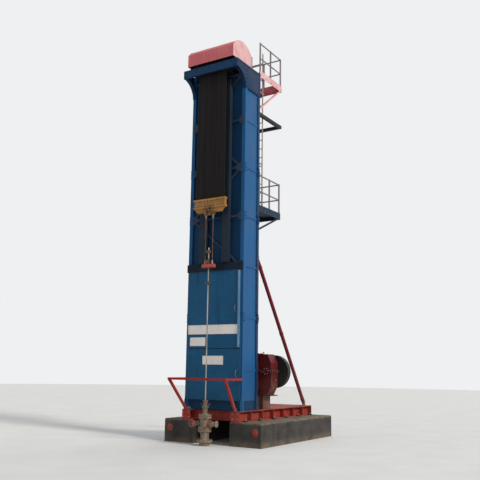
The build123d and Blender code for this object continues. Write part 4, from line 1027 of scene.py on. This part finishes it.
def bridle():
    """Each rope is six round strands whose middles follow a helix round its line. Sockets are turned."""
    low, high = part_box("bridle_ropes")
    height = high.z - low.z
    lay, strand_count, strand, strand_circle = 0.11, 6, 0.0047, 0.0092
    turns = height / lay
    share = line(0, 1, int(turns * 12) + 1)
    strands = []
    for side in both:
        for number in range(strand_count):
            angle = 2 * math.pi * (turns * share + number / strand_count)
            xs = side * rope_x + strand_circle * np.cos(angle)
            path = np.stack([xs, y_belt + strand_circle * np.sin(angle), low.z + height * share], -1)
            strands.append(carried(circle(strand, 6), path))
    piece("rope_strands", "rope", *strands, replaces=["bridle_ropes"], corner=60)
    cone = turned([(0.0145, -0.12), (0.017, -0.11), (0.030, -0.03), (0.032, 0.0), (0.026, 0.003)], 20)
    tops = placed(cone, mirrored([(rope_x, y_belt, high.z)]))
    feet = placed((cone[0] * (1, 1, -1), cone[1]), mirrored([(rope_x, y_belt, low.z)]))
    pin_spots = mirrored([(rope_x, y_belt, high.z + 0.05)])
    pins = lathed([(0.012, -0.045), (0.012, 0.045)], 12, pin_spots, front_way)
    piece("rope_sockets", "bolt", tops, feet, pins)


def rod_fittings():
    """Clamp halves on the rod: cut-back lugs on both sides of each, with a head in front and a nut behind."""
    clamp_levels = [5.66, 4.71]
    lugs = boxes((0.046, 0.05, 0.08), mirrored(grid_of([0.058], [y_belt], clamp_levels)), 0.006)
    collar = [(0.036, 0), (0.040, 0.004), (0.040, 0.026), (0.030, 0.034), (0.0205, 0.036)]
    seat = boxes((0.132, 0.09, 0.05), (0, y_belt, 5.345), 0.008)
    piece("rod_lugs", "rod_clamp", lugs, lathed(collar, 24, (0, y_belt, 5.41)), seat)
    half_lug = 0.025
    heights = [z + step for z in clamp_levels for step in (-0.02, 0.02)]
    spots = mirrored(grid_of([0.062], [y_belt], heights))
    carrier = mirrored(grid_of([0.05, rope_x, 0.185], [y_belt - half_lug - 0.04], [5.23]))
    rows = [(spots - (0, half_lug, 0), front_way), (spots + (0, half_lug, 0), rear_way), (carrier, front_way)]
    fasteners("rod_bolts", "bolt", hex_bolt(0.02), *rows)


def well():
    """The well's head, turned from a profile of flanges, necks and fillets, and studs round each flange."""
    body = lathed([
        (0.150, 0), (0.150, 0.085), (0.158, 0.100), (0.222, 0.102), (0.230, 0.110), (0.230, 0.152),
        (0.222, 0.160), (0.165, 0.162), (0.134, 0.180), (0.125, 0.215), (0.125, 0.335), (0.136, 0.375),
        (0.160, 0.398), (0.193, 0.402), (0.200, 0.410), (0.200, 0.444), (0.194, 0.450), (0.184, 0.451),
        (0.184, 0.459), (0.194, 0.460), (0.200, 0.466), (0.200, 0.500), (0.193, 0.508), (0.165, 0.511),
        (0.146, 0.530), (0.140, 0.560), (0.140, 0.690), (0.148, 0.735), (0.160, 0.758), (0.184, 0.762),
        (0.190, 0.770), (0.190, 0.804), (0.184, 0.809), (0.176, 0.810), (0.176, 0.816), (0.184, 0.817),
        (0.190, 0.822), (0.190, 0.852), (0.184, 0.860), (0.020, 0.860),
    ], 40, (0, y_belt, 0))
    neck = lathed([(0.060, -0.18), (0.060, 0.18)], 28, (0, y_belt, 0.62), right_way)
    piece("well_head", "well_paint", body, neck, replaces=["wellhead"])
    box = turned([
        (0.0205, 0.858), (0.145, 0.858), (0.145, 0.888), (0.138, 0.895), (0.088, 0.897), (0.074, 0.915),
        (0.072, 0.940), (0.072, 1.040), (0.080, 1.058), (0.096, 1.062), (0.100, 1.068), (0.100, 1.102),
        (0.096, 1.110), (0.064, 1.112), (0.058, 1.124), (0.058, 1.215), (0.062, 1.233), (0.074, 1.237),
        (0.078, 1.242), (0.078, 1.262), (0.072, 1.270), (0.0205, 1.270),
    ], 36, closed=True)
    parts = [placed(box, (0, y_belt, 0))]
    knob = [(0.006, 0), (0.015, 0.005), (0.015, 0.025), (0.006, 0.03)]
    tee_z = 1.165
    for side in both:
        bar = [(side * 0.055, y_belt, tee_z), (side * 0.13, y_belt, tee_z)]
        parts.append(carried(circle(0.009, 10), bar, across=front_way))
        parts.append(lathed(knob, 12, (side * 0.125, y_belt, tee_z), (side, 0, 0)))
    piece("packing_box", "well_paint", *parts, replaces=["stuffing_box"])
    flanges = [
        (0.160, 0.196, 8, 0, up_way), (0.508, 0.178, 12, 0.13, up_way), (0.402, 0.178, 12, 0.13, down_way),
        (0.860, 0.166, 8, 0, up_way), (0.762, 0.172, 8, 0, down_way), (1.110, 0.080, 4, 0.4, up_way),
    ]
    rows = [(ring((0, y_belt, z), radius, count, 2, turn), way) for z, radius, count, turn, way in flanges]
    fasteners("well_studs", "bolt", nut_and_stud(0.026), *rows)


def valves():
    """Two gate valves, turned about their own bores, with a bonnet and a spoked wheel towards the front."""
    x0, x1, z = 0.18, 0.42, 0.62
    outline = [
        (0.050, x0), (0.091, x0), (0.095, x0 + 0.004), (0.095, x0 + 0.028), (0.091, x0 + 0.032),
        (0.066, x0 + 0.034), (0.058, x0 + 0.045), (0.060, x0 + 0.06), (0.068, x0 + 0.08),
        (0.068, x1 - 0.08), (0.060, x1 - 0.06), (0.058, x1 - 0.045), (0.066, x1 - 0.034),
        (0.091, x1 - 0.032), (0.095, x1 - 0.028), (0.095, x1 - 0.010), (0.088, x1 - 0.004),
        (0.036, x1 - 0.002), (0.030, x1),
    ]
    bonnet = [
        (0.045, 0.03), (0.050, 0.066), (0.076, 0.069), (0.079, 0.073), (0.079, 0.096), (0.074, 0.100),
        (0.046, 0.102), (0.036, 0.120), (0.032, 0.165), (0.040, 0.170), (0.040, 0.186), (0.018, 0.190),
        (0.014, 0.240),
    ]
    hub = [(0.024, 0), (0.024, 0.012), (0.016, 0.016)]
    spoke_ways = outward(0.3 + line(0, 2 * math.pi, 5, endpoint=False))
    bodies = []
    wheels = []
    studs = []
    for side in both:
        middle = np.array([side * (x0 + x1) / 2, y_belt, z])
        wheel = middle - (0, 0.235, 0)
        bodies.append(lathed(outline, 28, (0, y_belt, z), (side, 0, 0)))
        bodies.append(lathed(bonnet, 24, middle, front_way))
        wheels.append(tube_ring(wheel, 0.100, 0.0095, front_way, sides=10, steps=40))
        for out in spoke_ways:
            spoke = [wheel + 0.015 * out - (0, 0.004, 0), wheel + 0.055 * out, wheel + 0.098 * out]
            wheels.append(carried(circle(0.006, 8) * (1, 0.7), spoke, across=front_way))
        wheels.append(lathed(hub, 16, wheel + (0, 0.008, 0), front_way))
        studs.append((ring((side * (x1 - 0.033), y_belt, z), 0.080, 8, 0), (-side, 0, 0)))
        studs.append((ring((side * (x0 + 0.032), y_belt, z), 0.080, 8, 0), (side, 0, 0)))
        studs.append((ring(middle - (0, 0.100, 0), 0.062, 6, 1), front_way))
    piece("gate_valves", "well_paint", *bodies, replaces=["wellhead_valves"])
    piece("valve_wheels", "handwheel", *wheels)
    fasteners("valve_studs", "bolt", hex_bolt(0.018), *studs)


def grating():
    """Bars on edge across the open floor, and thin rods across them, at equal steps outside the hatch."""
    edge_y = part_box("top_platform")[1].y
    wall = 0.012
    y0, y1 = y_back + wall, edge_y - wall
    hatch_x, hatch_y = 0.31, y_back + 1.082
    bar, bar_pitch = 0.004, 0.035
    rod, rod_pitch = 0.006, 0.10
    shapes = []
    for y in np.arange(y0 + 0.02, y1, bar_pitch):
        x1 = half_tower - wall if y > hatch_y else hatch_x
        low, high = (wall - half_tower, y, top_floor - 0.030), (x1, y + bar, top_floor - 0.002)
        shapes.append(bevelled_box(low, high))
    for x in np.arange(0.05 - half_tower, half_tower - 0.02, rod_pitch):
        start = y0 if x < hatch_x else hatch_y
        shapes.append(bevelled_box((x, start, top_floor - 0.012), (x + rod, y1, top_floor - 0.001)))
    piece("floor_grating", "hood_red", *shapes)


def platform_fittings():
    """Small plates under the rail posts, joint sleeves on the rails, and heads along the edge boards."""
    sleeve = [(0.026, -0.02), (0.029, -0.016), (0.029, 0.016), (0.026, 0.02)]
    x = half_tower - 0.03
    shapes = []
    heads = []
    for floor, depth in ((mid_floor, 1.40), (top_floor, 1.48)):
        ya, yb = y_back + 0.04, y_back + depth - 0.04
        posts = mirrored([(x, ya, floor), (x, (ya + yb) / 2, floor), (x, yb, floor), (x / 3, yb, floor)])
        shapes.append(boxes((0.05, 0.10, 0.012), posts + (0, 0, 0.006)))
        shapes += [lathed(sleeve, 12, posts + (0, 0, height)) for height in (1.045, 0.55)]
        heads += sides_of(grid_of([half_tower], line(ya, yb, 5), [floor - 0.06]))
        heads.append((grid_of(line(-0.9, 0.9, 7), [y_back + depth], [floor - 0.06]), rear_way))
    piece("post_plates", "rail_paint", *shapes)
    fasteners("platform_bolts", "bolt", hex_bolt(0.024), *heads)


def brace_fittings():
    """Heads on the braces' end plates, and turned collars where the tubes meet them."""
    plate, shoe = 0.014, 0.08
    top = mirrored(grid_of([0.905, 0.997], [y_back + plate], [5.29, 5.37, 5.53, 5.61]))
    foot = mirrored(grid_of([0.885, 0.995], [2.062, 2.255], [deck_top + plate]))
    fasteners("brace_bolts", "bolt", nut_and_stud(0.028), (top, rear_way), (foot, up_way))
    brace_x = half_tower - 0.057
    start = np.array([brace_x, y_back + 0.09, 5.45])
    end = np.array([brace_x, y_face + 4.1, deck_top + plate + shoe])
    run = (end - start) / np.linalg.norm(end - start)
    collar = [(0.060, -0.05), (0.066, -0.045), (0.066, 0.045), (0.060, 0.05)]
    spots = np.array([start + 0.16 * run, start + 2.6 * run, end - 0.16 * run])
    collars = [lathed(collar, 24, spots * (side, 1, 1), run * (side, 1, 1)) for side in both]
    piece("brace_collars", "brace_red", *collars)


def reducer_fittings():
    """Heads round the joint, the caps and the lid, lifting rings, a turned breather, plugs and a glass."""
    y0, y1, z = reducer_front, reducer_back, reducer_z
    flange, cap, lid_top, middle = 0.028, 0.034, 2.666, reducer_front + 0.21
    xs = [-0.44, -0.385, -0.25, 0.205, 0.31, 0.38, 0.74, 0.88, 0.96, 1.27]
    sides = grid_of(xs, [y0 - 0.018, y1 + 0.018], [z])
    ends = grid_of([-0.468, 1.308], line(y0 + 0.05, y1 - 0.05, 4), [z])
    joint = np.concatenate([sides, ends])
    rows = [(joint + (0, 0, flange), up_way), (joint - (0, 0, flange), down_way)]
    for x, radius, count in ((0.0, 0.160, 10), (0.56, 0.124, 8), (1.12, 0.084, 6)):
        rows.append((ring((x, y0 - cap, z), radius, count, 1, 0.2), front_way))
        rows.append((ring((x, y1 + cap, z), radius, count, 1, 0.2), rear_way))
    rows.append((grid_of(line(0.13, 0.77, 6), [y0 + 0.095, y1 - 0.095], [lid_top]), up_way))
    fasteners("reducer_bolts", "bolt", hex_bolt(0.028), *rows)
    shapes = []
    for x, radius in ((0.0, 0.19), (0.56, 0.15)):
        cover = [(radius * 0.55, 0), (radius * 0.55, 0.012), (radius * 0.40, 0.018)]
        shapes.append(lathed(cover, 28, (x, y1 + cap, z), rear_way))
    breather = [(0.020, 0), (0.020, 0.05), (0.040, 0.055), (0.044, 0.07), (0.044, 0.10), (0.030, 0.118)]
    shapes.append(lathed(breather, 20, (0.62, middle, lid_top)))
    shapes += [tube_ring((x, middle, 2.67), 0.036, 0.010, right_way, steps=24) for x in (0.04, 0.90)]
    shapes.append(boxes((0.03, 0.12, 0.012), grid_of([0.04, 0.90], [middle], [2.641])))
    shapes.append(boxes((0.30, 0.16, 0.02), (0.45, middle, 2.676), 0.005))
    shapes.append(boxes((0.16, 0.3, 0.02), (1.16, middle, 1.415), 0.004))
    piece("reducer_fittings", "drive_red", *shapes)
    plug = [(0.022, 0), (0.022, 0.014), (0.014, 0.018)]
    glass = [(0.030, 0), (0.034, 0.006), (0.034, 0.012), (0.022, 0.014), (0.018, 0.010)]
    end_x = 1.29
    drain = lathed(plug, 6, (end_x, y0 + 0.10, 1.62), right_way)
    piece("reducer_plugs", "bolt", drain, lathed(glass, 20, (end_x, y0 + 0.26, 1.86), right_way))


def guard_fittings():
    """A flat rim and stiffening bars on the belt guard's rear face, and screws round two arcs and a cover."""
    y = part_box("belt_guard")[1].y
    big = np.array([1.12, y, reducer_z])
    small = np.array([motor_x, y, motor_z])
    rim, lift = 0.485, np.array([0, 0.001, 0])
    shapes = [
        tube_ring(big - lift, rim, 0.012, rear_way, sides=4, steps=64, flat=0.6),
        tube_ring(big + lift, 0.15, 0.010, rear_way, sides=6, steps=40, flat=0.7),
        lathed([(0.142, 0), (0.142, 0.006), (0.135, 0.008)], 32, big - lift, rear_way),
    ]
    for out in outward(np.radians([20, 80, 140, 260, 320])):
        shapes.append(carried(strap(0.014, 0.006), [big + 0.165 * out, big + 0.475 * out], up=rear_way))
    piece("guard_rim", "black_paint", *shapes)
    outer = big + rim * outward(np.radians(np.arange(-150, 120, 22.5))) + (0, 0.004, 0)
    cover = ring(big + (0, 0.006, 0), 0.12, 6, 1)
    spots = np.concatenate([outer, cover, ring(small, 0.19, 8, 1, 0.3)])
    fasteners("guard_screws", "bolt", screw(0.018), (spots, rear_way))


def motor_fittings():
    """The motor's fan cover: rings and spokes over its mouth; box lid, glands, screws and lifting ring."""
    x, y, z = motor_x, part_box("drive_motor")[1].y, motor_z
    mouth = np.array([x, y - 0.004, z])
    shapes = [
        tube_ring((x, y - 0.002, z), radius, 0.005, rear_way, sides=6, steps=36)
        for radius in (0.055, 0.085, 0.115, 0.145, 0.175)
    ]
    for out in 0.18 * outward(np.radians(np.arange(0, 180, 30))):
        shapes.append(carried(circle(0.004, 6), [mouth - out, mouth + out], across=rear_way))
    shapes.append(tube_ring(mouth, 0.200, 0.014, rear_way, steps=40, flat=0.6))
    for ring_y in (y - 0.150, y - 0.012):
        shapes.append(tube_ring((x, ring_y, z), 0.222, 0.006, rear_way, sides=6, steps=40))
    box_y = 0.421
    shapes.append(boxes((0.014, 0.19, 0.19), (0.183, box_y, z), 0.004))
    shapes.append(boxes((0.010, 0.205, 0.205), (0.175, box_y, z)))
    gland = [(0.022, 0), (0.022, 0.02), (0.017, 0.024), (0.017, 0.045), (0.010, 0.05)]
    shapes.append(lathed(gland, 6, grid_of([0.10], [box_y - 0.05, box_y + 0.05], [z - 0.095]), down_way))
    shapes.append(tube_ring((x, box_y, z + 0.262), 0.028, 0.008, right_way, steps=22))
    shapes.append(lathed([(0.022, 0), (0.022, 0.014), (0.014, 0.018)], 14, (x, box_y, z + 0.228)))
    piece("motor_fittings", "black_paint", *shapes)
    lid = grid_of([0.190], [box_y - 0.08, box_y + 0.08], [z - 0.08, z + 0.08])
    feet = grid_of([x - 0.262, x + 0.262], [0.16, 0.68], [1.4425])
    fasteners("motor_screws", "bolt", hex_bolt(0.02), (lid, right_way), (feet, up_way))


def head_fittings():
    """Nuts on the bearings' feet and caps, and a grease nipple on each."""
    drum_y = (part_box("crown_drum")[0].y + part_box("crown_drum")[1].y) / 2
    bearing_x = 0.70
    feet = mirrored(grid_of([bearing_x], [drum_y - 0.195, drum_y + 0.195], [tower_top + 0.04]))
    caps = mirrored(grid_of([0.665, 0.735], [drum_y - 0.148, drum_y + 0.148], [11.94]))
    fasteners("bearing_studs", "bolt", nut_and_stud(0.042), (feet, up_way), (caps, up_way))
    nipple = [(0.010, 0), (0.010, 0.02), (0.006, 0.024), (0.006, 0.034), (0.009, 0.038)]
    piece("bearing_nipples", "bolt", lathed(nipple, 8, mirrored([(bearing_x, drum_y, 12.02)])))


def weld_bead(start, end, out):
    """A low three-sided ridge along a line, its height rippled by a sine of the distance."""
    start, end, out = [np.array(value, float) for value in (start, end, out)]
    count = int(np.linalg.norm(end - start) / 0.005) + 2
    path = start + (end - start) * line(0, 1, count)[:, None]
    height = 0.009 + 0.0012 * np.sin(np.arange(count) * 2.1)[:, None]
    points = np.stack([path - 0.002 * out, path + height * out, path + height * np.array(up_way)], 1)
    return points.reshape(-1, 3), [grid_faces(count, 3), end_faces(count, 3)]


def weld_beads():
    """Beads round the feet of the four posts."""
    z = skid_top + 0.025
    beads = []
    for side in both:
        x0, x1 = side * inner, side * half_tower
        for y in (y_face, y_back - post):
            beads.append(weld_bead((x0, y, z), (x1, y, z), front_way))
            beads.append(weld_bead((x0, y + post, z), (x1, y + post, z), rear_way))
            beads.append(weld_bead((x0, y, z), (x0, y + post, z), (-side, 0, 0)))
            beads.append(weld_bead((x1, y, z), (x1, y + post, z), (side, 0, 0)))
    piece("weld_beads", "posts", *beads)


tower_fasteners()
base_sills()
splice_plates()
panel_fasteners()
panel_fittings()
sign_plate("sign_long", -0.93, 0.862, 3.20, 3.48)
sign_plate("sign_small", -0.85, -0.28, 2.85, 3.11)
sign_plate("sign_low", -0.37, 0.37, 2.30, 2.56)
truss_gussets()
skid_fasteners()
block_lugs()
hood_trim()
clamp_fasteners()
bridle()
rod_fittings()
well()
valves()
grating()
platform_fittings()
brace_fittings()
reducer_fittings()
guard_fittings()
motor_fittings()
head_fittings()
weld_beads()


# Floor, light and camera

def floor_disc():
    """A round floor: one ring of points, far out, under the part's lowest point."""
    points, faces = turned([(70.0, -0.02), (70.0, 0.0)], 96)
    mesh = bpy.data.meshes.new("floor")
    mesh.from_pydata(points.tolist(), [], [row.tolist() for face in faces for row in face])
    made = bpy.data.objects.new("floor", mesh)
    bpy.context.scene.collection.objects.link(made)
    material, tree, sockets = new_material("pale_floor", 0.1, Roughness=0.95)
    tone = noise(tree, 0.8, 4).spread(0.3, 0.7).between((0.74, 0.73, 0.71), (0.78, 0.77, 0.75))
    feed(sockets["Base Color"], tone)
    mesh.materials.append(material)


def lamp(name, direction, strength, spread_deg, colour=(1, 1, 1)):
    """A distant lamp that shines from the given direction, wide enough for soft shadows."""
    light = bpy.data.lights.new(name, "SUN")
    light.energy = strength
    light.angle = math.radians(spread_deg)
    light.color = colour
    made = bpy.data.objects.new(name, light)
    made.rotation_mode = "QUATERNION"
    made.rotation_quaternion = Vector(direction).to_track_quat("Z", "Y")
    bpy.context.scene.collection.objects.link(made)


def world_light():
    """Even light from all round, and a pale backdrop for what the camera and the reflections see."""
    world = bpy.data.worlds.new("studio")
    bpy.context.scene.world = world
    world.use_nodes = True
    tree = world.node_tree
    even = tree.nodes["Background"]
    feed(even.inputs["Color"], (0.90, 0.95, 1.0))
    feed(even.inputs["Strength"], 0.42)
    pale = field(tree, "ShaderNodeBackground", 0, {"Color": (0.86, 0.87, 0.88), "Strength": 1.0})
    path = add(tree, "ShaderNodeLightPath").outputs
    seen = Field(path["Is Camera Ray"]).most(Field(path["Is Glossy Ray"]))
    seen = seen.most(Field(path["Is Transmission Ray"]))
    mix = field(tree, "ShaderNodeMixShader", 0, {0: seen, 1: Field(even.outputs[0]), 2: pale})
    feed(tree.nodes["World Output"].inputs["Surface"], mix)


def photo_camera():
    """The photograph's own standing point, turned to the middle of the unit."""
    camera = bpy.data.objects.new("camera", bpy.data.cameras.new("camera"))
    bpy.context.scene.collection.objects.link(camera)
    camera.location = (11.34, y_face - 16.82, 2.17)
    aim = Vector((0.10, y_face + 1.25, 6.30))
    roll = Quaternion((0, 0, 1), math.radians(0.8))
    camera.rotation_mode = "QUATERNION"
    camera.rotation_quaternion = (camera.location - aim).to_track_quat("Z", "Y") @ roll
    camera.data.lens = 50
    camera.data.clip_end = 300
    bpy.context.scene.camera = camera


floor_disc()
lamp("key", (0.90, -0.16, 0.50), 2.5, 12, (1.0, 0.97, 0.92))
lamp("fill", (-0.35, -0.90, 0.45), 0.25, 60)
lamp("rear_fill", (0.10, 0.90, 0.40), 0.9, 60)
world_light()
photo_camera()
bpy.context.scene.view_settings.view_transform = "Standard"
